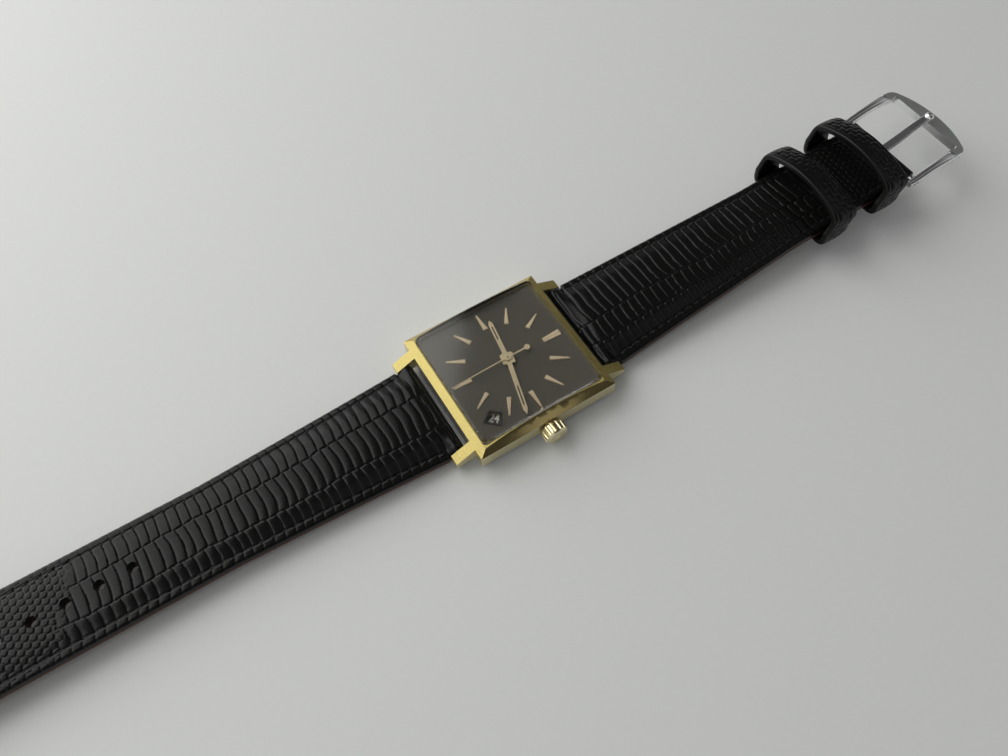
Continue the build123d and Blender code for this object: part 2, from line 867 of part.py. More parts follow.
def barrel_bridge():
    reach = back_pocket_radius - bridge_edge_inset
    first, second = barrel_foot_places()
    outline = Sketch()
    for place in (first, second, barrel_place, crown_wheel_place):
        outline += Pos(place[0], place[1]) * Circle(foot_radius)
    cover = Sketch() + make_hull(outline.edges())
    train_reach = centre_module * (centre_teeth / 2 + 1) + seat_gap
    cover -= Circle(train_reach)
    cover = cover & Circle(reach)
    plate = Pos(0, 0, barrel_bridge_low) * extrude(cover, amount=barrel_bridge_thickness)
    for place in barrel_foot_places():
        plate += disc(place, foot_radius, barrel_bridge_low, plate_low)
    window_start = sliding_pinion_start - seat_gap
    window_length = plate_radius - window_start
    window = Box(window_length, 2 * (winding_pinion_radius + seat_gap), plate_low)
    plate -= Pos(window_start + window_length / 2, 0, plate_low) * window
    arbor_low = barrel_bridge_low - overrun
    arbor_high = barrel_bridge_high + overrun
    plate -= disc(barrel_place, barrel_arbor_radius + running_gap, arbor_low, arbor_high)
    plate -= bridge_holes(barrel_bridge_low, barrel_bridge_high)
    plate += disc(crown_wheel_place, screw_shank_radius, ratchet_low, barrel_bridge_low + seat_gap)
    return plate


def cock_foot_place():
    return beyond(balance_place, balance_radius + foot_radius + soft_gap, cock_foot_bearing)


def balance_cock():
    low = train_bridge_low - cock_drop
    high = train_bridge_high - cock_drop
    circles = [(balance_place, 2 * jewel_radius), (cock_foot_place(), foot_radius)]
    cock = hull_plate(circles, low, high)
    cock += disc(cock_foot_place(), foot_radius, low, plate_low)
    return cock - bridge_holes(low, high)


def pallet_foot_place():
    return beyond(pallet_place, balance_radius + soft_gap, pallet_foot_bearing)


def pallet_bridge_low():
    return balance_rim_low() + balance_rim_height + level_gap


def pallet_bridge():
    low = pallet_bridge_low()
    high = low + pallet_bridge_thickness
    circles = [(pallet_place, pallet_boss_share * jewel_radius), (pallet_foot_place(), foot_radius / 2)]
    bridge = hull_plate(circles, low, high)
    bridge += disc(pallet_foot_place(), foot_radius / 2, low, plate_low)
    return bridge - bridge_holes(low, high)


def date_plate():
    bore = hour_tube_radius + seat_gap
    cover = tube(centre_place, date_plate_radius, bore, date_plate_low, date_plate_high)
    step_inner = date_plate_step_radius - date_plate_step_width
    step = tube(centre_place, date_plate_step_radius, step_inner, plate_high, date_plate_low + seat_gap)
    step -= keyless_recess()
    cover += step
    for place in dial_foot_places():
        cover -= disc(place, dial_foot_radius + seat_gap, plate_high - overrun, date_plate_high + overrun)
    return cover


def movement_ring():
    outer = case_bore_radius - seat_gap
    low = case_back_height + spigot_height + seat_gap
    return tube(centre_place, outer, outer - ring_wall, low, plate_low - running_gap) - stem_channel()


def screw_places():
    """Place, low side of the head, and high end of each movement screw."""
    tip = plate_low + plate_thickness / 2
    train_low = train_bridge_low - screw_head_height
    places = [(place, train_low, tip) for place in train_foot_places]
    places += [(place, barrel_bridge_low - screw_head_height, tip) for place in barrel_foot_places()]
    places.append((cock_foot_place(), train_low - cock_drop, tip))
    return places


def movement_screws():
    screws = []
    for place, head_low, tip in screw_places():
        head_high = head_low + screw_head_height
        screw = disc(place, screw_head_radius, head_low, head_high)
        screw += disc(place, screw_shank_radius, head_low, tip)
        slot = Box(2 * screw_head_radius + overrun, screw_head_radius / 4, screw_head_height)
        screws.append(screw - Pos(place[0], place[1], head_low) * slot)
    return Compound(screws)


def jewel_places():
    """Place, radius, low and high side of each jewel."""
    bridge = (train_bridge_low, train_bridge_high)
    plate = (plate_low, plate_high - plate_thickness / 2)
    pallet = (pallet_bridge_low(), pallet_bridge_low() + pallet_bridge_thickness)
    cock = (train_bridge_low - cock_drop, train_bridge_high - cock_drop)
    return [
        (centre_place, jewel_radius, *bridge),
        (third_place, jewel_radius, *bridge),
        (escape_place, jewel_radius, *bridge),
        (third_place, jewel_radius, *plate),
        (escape_place, jewel_radius, *plate),
        (pallet_place, jewel_radius, *plate),
        (balance_place, jewel_radius, *plate),
        (pallet_place, jewel_radius * small_jewel_share, *pallet),
        (balance_place, jewel_radius * small_jewel_share, *cock),
    ]


def jewels():
    bore = pivot_radius + running_gap
    return Compound([tube(place, radius, bore, low, high) for place, radius, low, high in jewel_places()])


# Going train

def arbor(place, low, high):
    return disc(place, pivot_radius, low, high)


def pivot_low():
    return train_bridge_low + bridge_thickness / 2


def pivot_high():
    return plate_low + plate_thickness / 4


def mainspring_barrel():
    radius = barrel_module * (barrel_teeth / 2 - dedendum_share) - seat_gap
    drum = disc(barrel_place, radius, barrel_low, barrel_high)
    teeth_low = barrel_high - barrel_tooth_height
    drum += gear(barrel_place, barrel_teeth, barrel_module, barrel_turn, teeth_low, barrel_high)
    floor = barrel_wall / 2
    drum -= disc(barrel_place, radius - barrel_wall, barrel_low + floor, barrel_high - floor)
    bore = barrel_arbor_radius / 2 + running_gap
    return drum - disc(barrel_place, bore, barrel_low - overrun, barrel_high + overrun)


def mainspring():
    radius = barrel_module * (barrel_teeth / 2 - dedendum_share) - seat_gap - barrel_wall
    low = barrel_low + barrel_wall / 2 + running_gap
    high = barrel_high - barrel_wall / 2 - running_gap
    inner = barrel_arbor_radius + seat_gap
    return tube(barrel_place, radius - running_gap, inner, low, high)


def barrel_arbor():
    core_low = barrel_low + barrel_wall / 2 + running_gap
    core_high = barrel_high - barrel_wall / 2 - running_gap
    shaft = disc(barrel_place, barrel_arbor_radius / 2, barrel_low, plate_low - running_gap)
    shaft += disc(barrel_place, barrel_arbor_radius, core_low, core_high)
    shaft += disc(barrel_place, barrel_arbor_radius / 2, ratchet_low, barrel_low)
    shaft += disc(barrel_place, barrel_arbor_radius, barrel_bridge_low, barrel_bridge_high)
    return shaft


def centre_wheel():
    wheel = spoked_wheel(centre_place, centre_teeth, centre_module, centre_turn, centre_low, centre_high)
    leaves_high = plate_low - seat_gap
    wheel += gear(
        centre_place, centre_pinion_leaves, barrel_module, centre_pinion_turn, centre_high, leaves_high
    )
    wheel += disc(centre_place, centre_arbor_radius, centre_low, minute_hand_low)
    bore_high = minute_hand_low + overrun
    return wheel - disc(centre_place, centre_arbor_bore_radius, centre_low - overrun, bore_high)


def third_wheel():
    wheel = spoked_wheel(third_place, third_teeth, third_module, third_turn, third_low, third_high)
    pinion_high = centre_high + pinion_overlap
    wheel += gear(third_place, third_pinion_leaves, centre_module, third_pinion_turn, third_high, pinion_high)
    return wheel + arbor(third_place, pivot_low(), pivot_high())


def fourth_wheel():
    wheel = spoked_wheel(centre_place, fourth_teeth, fourth_module, fourth_turn, fourth_low, fourth_high)
    low = fourth_high
    high = min(third_high + pinion_overlap, centre_low - running_gap)
    wheel += gear(centre_place, fourth_pinion_leaves, third_module, fourth_pinion_turn, low, high)
    wheel += disc(centre_place, seconds_arbor_radius, fourth_low, seconds_hand_high)
    return wheel + arbor(centre_place, pivot_low(), fourth_low)


def escape_wheel_outline():
    pitch = 360 / escape_teeth
    root = escape_wheel_radius * escape_root_share
    heel = escape_wheel_radius * escape_heel_share
    points = []
    for tooth in range(escape_teeth):
        for radius, share in zip((root, heel, escape_wheel_radius, root), escape_tooth_shares):
            points.append(polar(radius, (tooth + share) * pitch))
    outline = Polygon(*points, align=None)
    return outline - spoke_windows(root - wheel_rim_width / 2, wheel_hub_radius, wheel_spoke_width, 0, 4)


def escape_wheel():
    wheel = extrude(escape_wheel_outline(), amount=train_wheel_thickness)
    wheel = Pos(escape_place[0], escape_place[1], escape_low) * wheel
    low = fourth_low - pinion_overlap
    high = fourth_high + pinion_overlap
    wheel += gear(escape_place, escape_pinion_leaves, fourth_module, escape_pinion_turn, low, high)
    return wheel + arbor(escape_place, pivot_low(), pivot_high())


# Escapement and balance

def pallet_level():
    return escape_low - running_gap, escape_high + running_gap


def pallet_fork():
    low, high = pallet_level()
    tail = balance_distance - roller_pin_place_radius - roller_pin_radius
    neck = Pos(tail / 2, 0) * Rectangle(tail, pallet_arm_width)
    fork_width = 4 * pallet_arm_width
    horns = Pos(tail, 0) * Rectangle(pallet_arm_width, fork_width / 2)
    slot_width = 2 * (roller_pin_radius + running_gap)
    slot_length = pallet_arm_width * pallet_notch_share
    horns -= Pos(tail + pallet_arm_width / 2, 0) * Rectangle(slot_length, slot_width)
    body = Rot(0, 0, balance_bearing) * (neck + horns)
    fork = Pos(pallet_place[0], pallet_place[1], low) * extrude(body, amount=high - low)
    for side in (-1, 1):
        stone = beyond(escape_place, escape_wheel_radius, pallet_bearing + side * pallet_half_embrace)
        fork += hull_plate([(pallet_place, pallet_arm_width), (stone, pallet_arm_width / 2)], low, high)
    clear = escape_wheel_radius + running_gap
    fork -= disc(escape_place, clear, low - overrun, high + overrun)
    return fork + arbor(pallet_place, pallet_bridge_low() + running_gap, pivot_high())


def balance_rim_low():
    return train_bridge_high - cock_drop + 2 * level_gap + hairspring_height


def balance_wheel():
    low = balance_rim_low()
    high = low + balance_rim_height
    inner = balance_radius - balance_rim_width
    rim = tube(balance_place, balance_radius, inner, low, high)
    arm_low = low + balance_rim_height / 3
    arm = Rectangle(2 * (balance_radius + inner) / 2, balance_arm_width)
    rim += Pos(balance_place[0], balance_place[1], arm_low) * extrude(arm, amount=balance_rim_height / 3)
    staff_low = train_bridge_high - cock_drop + seat_gap
    rim += disc(balance_place, 2 * pivot_radius, staff_low, pivot_high() - plate_thickness / 4)
    rim += arbor(balance_place, pivot_low() - cock_drop, pivot_high())
    fork_low, fork_high = pallet_level()
    roller_high = fork_low - seat_gap
    rim += disc(balance_place, roller_radius, roller_high - train_wheel_thickness, roller_high)
    pin = beyond(balance_place, roller_pin_place_radius, balance_bearing + 180)
    return rim + disc(pin, roller_pin_radius, roller_high - train_wheel_thickness, fork_high)


def hairspring():
    outer_points = []
    inner_points = []
    for step in range(hairspring_turns * hairspring_points + 1):
        radius = hairspring_inner_radius + hairspring_pitch * step / hairspring_points
        bearing = step * 360 / hairspring_points
        outer_points.append(polar(radius, bearing))
        inner_points.append(polar(radius - hairspring_strip, bearing))
    ends = Line(outer_points[0], inner_points[0]) + Line(outer_points[-1], inner_points[-1])
    outline = make_face(Spline(*outer_points) + Spline(*inner_points) + ends)
    low = train_bridge_high - cock_drop + level_gap
    high = low + hairspring_height
    strip = Pos(balance_place[0], balance_place[1], low) * extrude(outline, amount=high - low)
    return strip + tube(balance_place, hairspring_inner_radius, 2 * pivot_radius, low, high)


def regulator():
    high = balance_rim_low() - level_gap - hairspring_height - press_gap
    low = train_bridge_high - cock_drop
    end = beyond(balance_place, balance_radius * regulator_reach_share, regulator_bearing)
    lever = hull_plate([(balance_place, 2 * jewel_radius), (end, pallet_arm_width / 2)], low, high)
    return lever - disc(balance_place, 2 * pivot_radius + seat_gap, low - overrun, high + overrun)


# Winding work

def ratchet_wheel():
    wheel = gear(barrel_place, ratchet_teeth, winding_module, ratchet_turn, ratchet_low, ratchet_high)
    return wheel - disc(barrel_place, barrel_arbor_radius / 2, ratchet_low - overrun, ratchet_high + overrun)


def crown_wheel():
    low, high = ratchet_low, ratchet_high
    wheel = gear(crown_wheel_place, crown_wheel_teeth, winding_module, crown_wheel_turn, low, high)
    return wheel - disc(crown_wheel_place, screw_shank_radius + running_gap, low - overrun, high + overrun)


def click_place():
    return beyond(barrel_place, winding_module * (ratchet_teeth / 2 + 1) + 3 * jewel_radius, click_bearing)


def click():
    reach = winding_module * (ratchet_teeth / 2 + 1) + pallet_arm_width / 2 + seat_gap
    nose = beyond(barrel_place, reach, click_nose_bearing)
    circles = [(click_place(), jewel_radius), (nose, pallet_arm_width / 2)]
    lever = hull_plate(circles, ratchet_low, ratchet_high)
    return lever - disc(click_place(), pivot_radius * 2, ratchet_low - overrun, ratchet_high + overrun)


def click_spring():
    first, second, third = click_spring_bearings
    start = beyond(click_place(), jewel_radius + hairspring_strip + seat_gap, first)
    middle = beyond(click_place(), 5 * jewel_radius, second)
    end = beyond(click_place(), 6 * jewel_radius, third)
    path = ThreePointArc(start, middle, end)
    band = Sketch() + trace(path, line_width=2 * hairspring_strip)
    return Pos(0, 0, ratchet_low) * extrude(band, amount=ratchet_thickness)


def winding_stem():
    groove_place = setting_lever_places()[1][0]
    start = sliding_pinion_start - stem_pivot_length
    end = case_half + crown_standoff + crown_length - crown_skirt_depth
    pivot = extrude(Plane.YZ * Circle(stem_radius * stem_groove_share), amount=stem_pivot_length)
    stem = Pos(start, 0, stem_height) * pivot
    square_length = winding_pinion_start - sliding_pinion_start
    square = extrude(Plane.YZ * Rectangle(stem_square_side, stem_square_side), amount=square_length)
    stem += Pos(sliding_pinion_start, 0, stem_height) * square
    shaft = extrude(Plane.YZ * Circle(stem_radius), amount=end - winding_pinion_start)
    stem += Pos(winding_pinion_start, 0, stem_height) * shaft
    groove_floor = stem_radius * stem_groove_share
    groove_outline = Circle(stem_radius + overrun) - Circle(groove_floor)
    groove = extrude(Plane.YZ * groove_outline, amount=setting_groove_width)
    return stem - Pos(groove_place - setting_groove_width / 2, 0, stem_height) * groove


def crown_teeth_outline(radius, teeth, depth_share):
    pitch = 360 / teeth
    root = radius * (1 - depth_share)
    points = []
    for tooth in range(teeth):
        middle = tooth * pitch
        points.append(polar(root, middle - pitch / 4))
        points.append(polar(radius, middle - pitch / 8))
        points.append(polar(radius, middle + pitch / 8))
        points.append(polar(root, middle + pitch / 4))
    return Polygon(*points, align=None)


def winding_pinion():
    outline = crown_teeth_outline(winding_pinion_radius, winding_pinion_teeth, winding_tooth_share)
    outline -= Circle(stem_radius + running_gap)
    pinion = extrude(Plane.YZ * outline, amount=winding_pinion_width)
    return Pos(winding_pinion_start, 0, stem_height) * pinion


def sliding_pinion():
    hole_side = stem_square_side + 2 * running_gap
    outline = crown_teeth_outline(sliding_pinion_radius, winding_pinion_teeth, sliding_tooth_share)
    outline -= Rectangle(hole_side, hole_side)
    pinion = extrude(Plane.YZ * outline, amount=sliding_pinion_width)
    groove_floor = sliding_pinion_radius * sliding_groove_share
    groove_outline = Circle(sliding_pinion_radius + overrun) - Circle(groove_floor)
    groove = extrude(Plane.YZ * groove_outline, amount=sliding_pinion_groove)
    pinion -= Pos((sliding_pinion_width - sliding_pinion_groove) / 2, 0, 0) * groove
    return Pos(sliding_pinion_start + crown_pull_travel, 0, stem_height) * pinion


def setting_lever():
    pivot, nose = setting_lever_places()
    low = plate_low + plate_thickness / 2 + seat_gap
    high = plate_high - seat_gap
    lever = hull_plate([(pivot, jewel_radius), (nose, pallet_arm_width / 2)], low, high)
    post_low = stem_height + stem_radius * stem_groove_share + seat_gap
    return lever + disc(nose, setting_post_radius(), post_low, high)


def yoke():
    pivot, nose = yoke_places()
    low = plate_low + plate_thickness / 2 + seat_gap
    high = plate_high - seat_gap
    return hull_plate([(pivot, jewel_radius), (nose, sliding_pinion_groove / 2 - running_gap)], low, high)


def setting_lever_spring():
    low = plate_low + plate_thickness / 2 + seat_gap
    high = plate_high - seat_gap
    pivot = setting_lever_places()[0]
    start = (pivot[0] - 2 * jewel_radius, pivot[1] + jewel_radius)
    end = (yoke_places()[0][0] + 2 * jewel_radius, yoke_places()[0][1])
    return hull_plate([(start, pallet_arm_width / 2), (end, pallet_arm_width / 2)], low, high)


# Motion work and date

def cannon_pinion():
    low = minute_wheel_low
    pinion = gear(centre_place, cannon_leaves, motion_module, centre_turn, low, minute_wheel_high)
    pinion += disc(centre_place, cannon_radius, low, minute_hand_high)
    bore = centre_arbor_radius + press_gap
    return pinion - disc(centre_place, bore, plate_high, minute_hand_high + overrun)


def minute_wheel():
    low, middle, high = minute_wheel_low, minute_wheel_high, hour_wheel_high
    wheel = gear(minute_place, minute_wheel_teeth, motion_module, minute_wheel_turn, low, middle)
    wheel += gear(minute_place, minute_pinion_leaves, motion_module, minute_wheel_turn, middle, high)
    return wheel - disc(minute_place, cannon_radius / 2 + running_gap, plate_high, date_plate_low)


def hour_wheel():
    low = hour_wheel_low
    wheel = gear(centre_place, hour_wheel_teeth, motion_module, hour_wheel_turn, low, hour_wheel_high)
    wheel += disc(centre_place, hour_tube_radius, low, hour_hand_high)
    return wheel - disc(centre_place, cannon_radius + running_gap, low - overrun, hour_hand_high + overrun)


def date_ring():
    outline = Circle(date_ring_outer_radius) - Circle(date_ring_inner_radius)
    pitch = 360 / date_days
    for day in range(date_days):
        tooth = Polygon(
            polar(date_ring_inner_radius + date_tooth_depth, (day + date_tooth_share / 2) * pitch),
            polar(date_ring_inner_radius - date_tooth_depth, day * pitch),
            polar(date_ring_inner_radius + date_tooth_depth, (day - date_tooth_share / 2) * pitch),
            align=None,
        )
        outline += tooth
    return Pos(0, 0, date_ring_low) * extrude(outline, amount=date_ring_thickness)


# Crown

def crown_dome_radius():
    shoulder = crown_radius - crown_edge_chamfer
    return (shoulder ** 2 + crown_dome_rise ** 2) / (2 * crown_dome_rise)


def crown():
    start = case_half + crown_standoff
    shoulder = crown_radius - crown_edge_chamfer
    profile = make_face(
        Polyline(
            (crown_length + crown_dome_rise, 0),
            (0, 0),
            (0, shoulder),
            (crown_edge_chamfer, crown_radius),
            (crown_length - crown_edge_chamfer, crown_radius),
            (crown_length, shoulder),
        )
        + RadiusArc((crown_length, shoulder), (crown_length + crown_dome_rise, 0), crown_dome_radius())
    )
    body = revolve(profile, axis=Axis.X)
    flute = extrude(Plane.YZ * Circle(crown_flute_radius), amount=crown_length - crown_edge_chamfer)
    flute_place = crown_radius + crown_flute_radius - crown_flute_depth
    for number in range(crown_flutes):
        spot = polar(flute_place, number * 360 / crown_flutes)
        body -= Pos(0, spot[0], spot[1]) * flute
    skirt = extrude(Plane.YZ * Circle(tube_radius + soft_gap), amount=crown_skirt_depth)
    body -= skirt
    stem_hole = extrude(Plane.YZ * Circle(stem_radius), amount=crown_length - crown_skirt_depth)
    body -= stem_hole
    return Pos(start, 0, stem_height) * body


# Spring bars and strap

def spring_bar(side):
    length = lug_gap - 2 * running_gap
    bar = Pos(-length / 2, 0, 0) * extrude(Plane.YZ * Circle(spring_bar_radius), amount=length)
    tip_length = lug_gap + 2 * spring_bar_tip_length
    bar += Pos(-tip_length / 2, 0, 0) * extrude(Plane.YZ * Circle(spring_bar_tip_radius), amount=tip_length)
    return Pos(0, side * spring_bar_reach, spring_bar_height) * bar


def strap_section(reach, width, low, edge, crown_height):
    """A cross-section of the strap with a crowned top, measured from the spring bar's axis."""
    half = width / 2
    outline = make_face(
        Polyline((-half, low + edge), (-half, low), (half, low), (half, low + edge))
        + ThreePointArc((half, low + edge), (0, low + crown_height), (-half, low + edge))
    )
    return cross_section(reach) * outline


def strap_stations(end, end_width, taper_end):
    """Reach, width and thickness shares along the strap, from its shoulder to its far end."""
    start = strap_neck_end
    places = [
        (start, strap_shoulder_width),
        ((start + taper_end) / 2, (strap_shoulder_width + end_width) / 2),
        (taper_end, end_width),
        (end, end_width),
    ]
    return [(reach, width, share) for (reach, width), share in zip(places, strap_thinning_shares)]


def strap_cover(end, end_width, taper_end):
    """The padded outer leather, straight along +Y from the spring bar's axis."""
    low = lining_thickness - strap_under_drop
    full = strap_end_thickness - lining_thickness
    thin = strap_far_thickness - lining_thickness
    edge_full = strap_edge_thickness - lining_thickness
    sections = []
    for reach, width, share in strap_stations(end, end_width, taper_end):
        crown_height = full + (thin - full) * share
        edge = edge_full + (thin * strap_far_edge_share - edge_full) * share
        sections.append(strap_section(reach, width, low, edge, crown_height))
    cover = loft(sections, ruled=True)
    neck_section = strap_section(0, strap_neck_width, low, edge_full, full - neck_step)
    cover += extrude(neck_section, amount=strap_neck_end + seat_gap, dir=(0, 1, 0))
    loop = extrude(Plane.YZ * Circle(strap_loop_radius), amount=strap_neck_width)
    cover += Pos(-strap_neck_width / 2, 0, 0) * loop
    bore = extrude(Plane.YZ * Circle(spring_bar_radius + seat_gap), amount=strap_neck_width + overrun)
    cover -= Pos(-(strap_neck_width + overrun) / 2, 0, 0) * bore
    return cover


def strap_lining(end, end_width, taper_end):
    low = -strap_under_drop
    sections = []
    for reach, width, share in strap_stations(end, end_width, taper_end):
        outline = Pos(0, low + lining_thickness / 2) * Rectangle(width, lining_thickness)
        sections.append(cross_section(reach) * outline)
    return loft(sections, ruled=True)


def tail_outline():
    """The plan of the tail, with a blunt point."""
    half = strap_shoulder_width
    narrow = tail_width / 2
    shoulder = tail_reach - tail_point_length
    side = (narrow, shoulder)
    bulge = (narrow * tail_bulge_shares[0], shoulder + tail_point_length * tail_bulge_shares[1])
    point = (tail_point_radius * tail_tip_shares[0], tail_reach - tail_point_radius * tail_tip_shares[1])
    left_side, left_bulge, left_point = [(-place[0], place[1]) for place in (side, bulge, point)]
    return make_face(
        Polyline(left_side, (-half, shoulder), (-half, -half), (half, -half), (half, shoulder), side)
        + ThreePointArc(side, bulge, point)
        + ThreePointArc(point, (0, tail_reach), left_point)
        + ThreePointArc(left_point, left_bulge, left_side)
    )


def tail_holes():
    height = 4 * strap_end_thickness
    places = [(0, hole_first + number * hole_pitch) for number in range(hole_count)]
    return [disc(place, hole_radius, -height / 2, height / 2) for place in places]


def tail_form(piece):
    height = 4 * strap_end_thickness
    plan = Pos(0, 0, -height / 2) * extrude(tail_outline(), amount=height)
    return (piece & plan) - tail_holes()


def lay_12(piece):
    """Turn a piece built straight from the spring bar's axis up to its rest tilt, at 12 o'clock."""
    return Pos(0, spring_bar_reach, spring_bar_height) * Rot(strap_tilt_12, 0, 0) * piece


def lay_6(piece):
    return Rot(0, 0, 180) * Pos(0, spring_bar_reach, spring_bar_height) * Rot(strap_tilt_6, 0, 0) * piece


def strap_6_cover():
    return lay_6(tail_form(strap_cover(tail_reach, tail_width, tail_taper_end)))


def strap_6_lining():
    return lay_6(tail_form(strap_lining(tail_reach, tail_width, tail_taper_end)))


def buckle_loop_height():
    return strap_far_thickness / 2 - strap_under_drop


def tongue_slot():
    width = tongue_width + 2 * tongue_slot_gap
    length = 3 * tongue_collar_radius
    return Pos(0, buckle_reach, buckle_loop_height()) * Box(width, length, 4 * strap_far_thickness)


def strap_12_cover():
    cover = strap_cover(buckle_reach, buckle_width, buckle_reach * buckle_taper_share)
    width = buckle_width
    loop = extrude(Plane.YZ * Circle(strap_far_thickness / 2 + buckle_loop_bulge), amount=width)
    cover += Pos(-width / 2, buckle_reach, buckle_loop_height()) * loop
    bore = extrude(Plane.YZ * Circle(buckle_bar_radius + seat_gap), amount=width + overrun)
    cover -= Pos(-(width + overrun) / 2, buckle_reach, buckle_loop_height()) * bore
    return lay_12(cover - tongue_slot())


def strap_12_lining():
    end = buckle_reach - strap_far_thickness
    lining = strap_lining(end, buckle_width, buckle_reach * buckle_taper_share)
    return lay_12(lining - tongue_slot())


# Keepers and buckle

def keeper_outline(extra):
    """The arched opening of a keeper, or its outside when the leather's thickness is added."""
    half = buckle_width / 2 + keeper_side_gap + extra
    low = -strap_under_drop - soft_gap - extra
    high = keeper_top() + extra
    shoulder = high - keeper_arch_sag
    outline = make_face(
        Polyline((half, shoulder), (half, low), (-half, low), (-half, shoulder))
        + ThreePointArc((-half, shoulder), (0, high), (half, shoulder))
    )
    feet, shoulders = outline.vertices().group_by(Axis.Y)
    outline = fillet(shoulders, radius=keeper_crown_radius + extra)
    return fillet(outline.vertices().group_by(Axis.Y)[0], radius=keeper_foot_radius + extra)


def keeper_top():
    return strap_far_thickness - strap_under_drop + keeper_head_room


def keeper_side():
    """The side view of a keeper, upright beside the strap and bowed towards the buckle above it."""
    half = keeper_width / 2
    low = -strap_under_drop - soft_gap - keeper_leather - overrun
    level = strap_far_thickness - strap_under_drop
    high = keeper_top() + keeper_leather + overrun
    middle = (level + high) / 2
    bend = keeper_lean / 2 + keeper_bow
    outline = make_face(
        Polyline((-half, level), (-half, low), (half, low), (half, level))
        + ThreePointArc((half, level), (half + bend, middle), (half + keeper_lean, high))
        + Line((half + keeper_lean, high), (keeper_lean - half, high))
        + ThreePointArc((keeper_lean - half, high), (bend - half, middle), (-half, level))
    )
    return extrude(Plane.YZ * outline, amount=buckle_width, both=True)


def keeper(place):
    reach = keeper_width + keeper_lean
    loop = keeper_outline(keeper_leather) - keeper_outline(0)
    band = extrude(cross_section(-reach) * loop, amount=2 * reach, dir=(0, 1, 0))
    return lay_12(Pos(0, place, 0) * (band & keeper_side()))


def buckle_place(piece):
    return lay_12(Pos(0, buckle_reach, buckle_loop_height()) * piece)


def buckle_bow():
    """The flat crescent with a straight inner edge, tipped down to its outer edge, and its two legs."""
    outer_half = buckle_outer_width / 2
    inner_half = buckle_inner_width / 2
    side = buckle_leg_length + buckle_bow_side
    outline = make_face(
        Polyline((outer_half, side), (outer_half, 0), (-outer_half, 0), (-outer_half, side))
        + ThreePointArc((-outer_half, side), (0, side + 2 * buckle_bow_sag), (outer_half, side))
    )
    corners = outline.vertices().group_by(Axis.Y)[-1]
    outline = fillet(corners, radius=buckle_corner_radius)
    window = RectangleRounded(buckle_inner_width, 2 * buckle_leg_length, buckle_window_radius)
    bow = extrude(outline - window, amount=buckle_bow_thickness)
    edges = bow.faces().sort_by(Axis.Z)[-1].edges()
    outer_edges = [edge for edge in edges if edge.center().Y > side or abs(edge.center().X) > inner_half]
    bow = fillet([edge for edge in outer_edges if edge.center().Y > 0], radius=buckle_edge_radius)
    bow = Rot(-buckle_bow_pitch, 0, 0) * Pos(0, 0, -buckle_bow_thickness / 2) * bow
    return Pos(0, buckle_window_length - buckle_leg_length, buckle_arch_rise) * bow


def buckle_arm():
    """One arched arm, from its rounded end past the bar to the crescent's leg."""
    full = (buckle_outer_width - buckle_inner_width) / 2
    length = buckle_window_length - buckle_leg_length + overrun / 2
    centre = (buckle_outer_width + buckle_inner_width) / 4
    end_width = full * arm_width_shares[0]
    stations = [(-arm_tail, end_width * arm_tail_shares[0], arm_height * arm_tail_shares[1], 0)]
    for place, width_share, rise_share in zip(arm_station_shares, arm_width_shares, arm_rise_shares):
        height = arm_height + (buckle_bow_thickness - arm_height) * place
        stations.append((length * place, full * width_share, height, buckle_arch_rise * rise_share))
    sections = []
    for reach, width, height, rise in stations:
        radius = arm_corner_share * min(width, height)
        section = Pos(centre, rise) * RectangleRounded(width, height, radius)
        sections.append(cross_section(reach) * section)
    return loft(sections)


def buckle_frame():
    arm = buckle_arm()
    frame = buckle_bow() + arm + mirror(arm, about=Plane.YZ)
    bore = extrude(Plane.YZ * Circle(buckle_bar_radius + running_gap), amount=buckle_outer_width + overrun)
    return buckle_place(frame - Pos(-(buckle_outer_width + overrun) / 2, 0, 0) * bore)


def buckle_bar():
    length = buckle_outer_width - 2 * buckle_edge_radius
    return buckle_place(Pos(-length / 2, 0, 0) * extrude(Plane.YZ * Circle(buckle_bar_radius), amount=length))


def tongue_rest():
    """The place and height of the ball's middle, as it lies on the crescent's inner edge."""
    reach = buckle_window_length + tongue_ball_overlap
    drop = (buckle_leg_length + tongue_ball_overlap) * math.sin(math.radians(buckle_bow_pitch))
    top = buckle_arch_rise - drop + buckle_bow_thickness / 2
    return reach, top + tongue_ball_radius + seat_gap


def buckle_tongue():
    reach, height = tongue_rest()
    sections = []
    corner = tongue_thickness * tongue_corner_share
    rise = height - tongue_ball_radius / 2
    for place, rise_share, width_share in zip(tongue_station_shares, tongue_rise_shares, tongue_width_shares):
        outline = RectangleRounded(tongue_width * width_share, tongue_thickness, corner)
        sections.append(cross_section(reach * place) * (Pos(0, rise * rise_share) * outline))
    tip = RectangleRounded(tongue_tip_width, tongue_thickness, corner)
    sections.append(cross_section(reach) * (Pos(0, height) * tip))
    tongue = loft(sections)
    collar = extrude(Plane.YZ * Circle(tongue_collar_radius), amount=tongue_width)
    tongue += Pos(-tongue_width / 2, 0, 0) * collar
    tongue += Pos(0, reach, height) * Sphere(tongue_ball_radius)
    bore = extrude(Plane.YZ * Circle(buckle_bar_radius + running_gap), amount=tongue_width + overrun)
    return buckle_place(tongue - Pos(-(tongue_width + overrun) / 2, 0, 0) * bore)


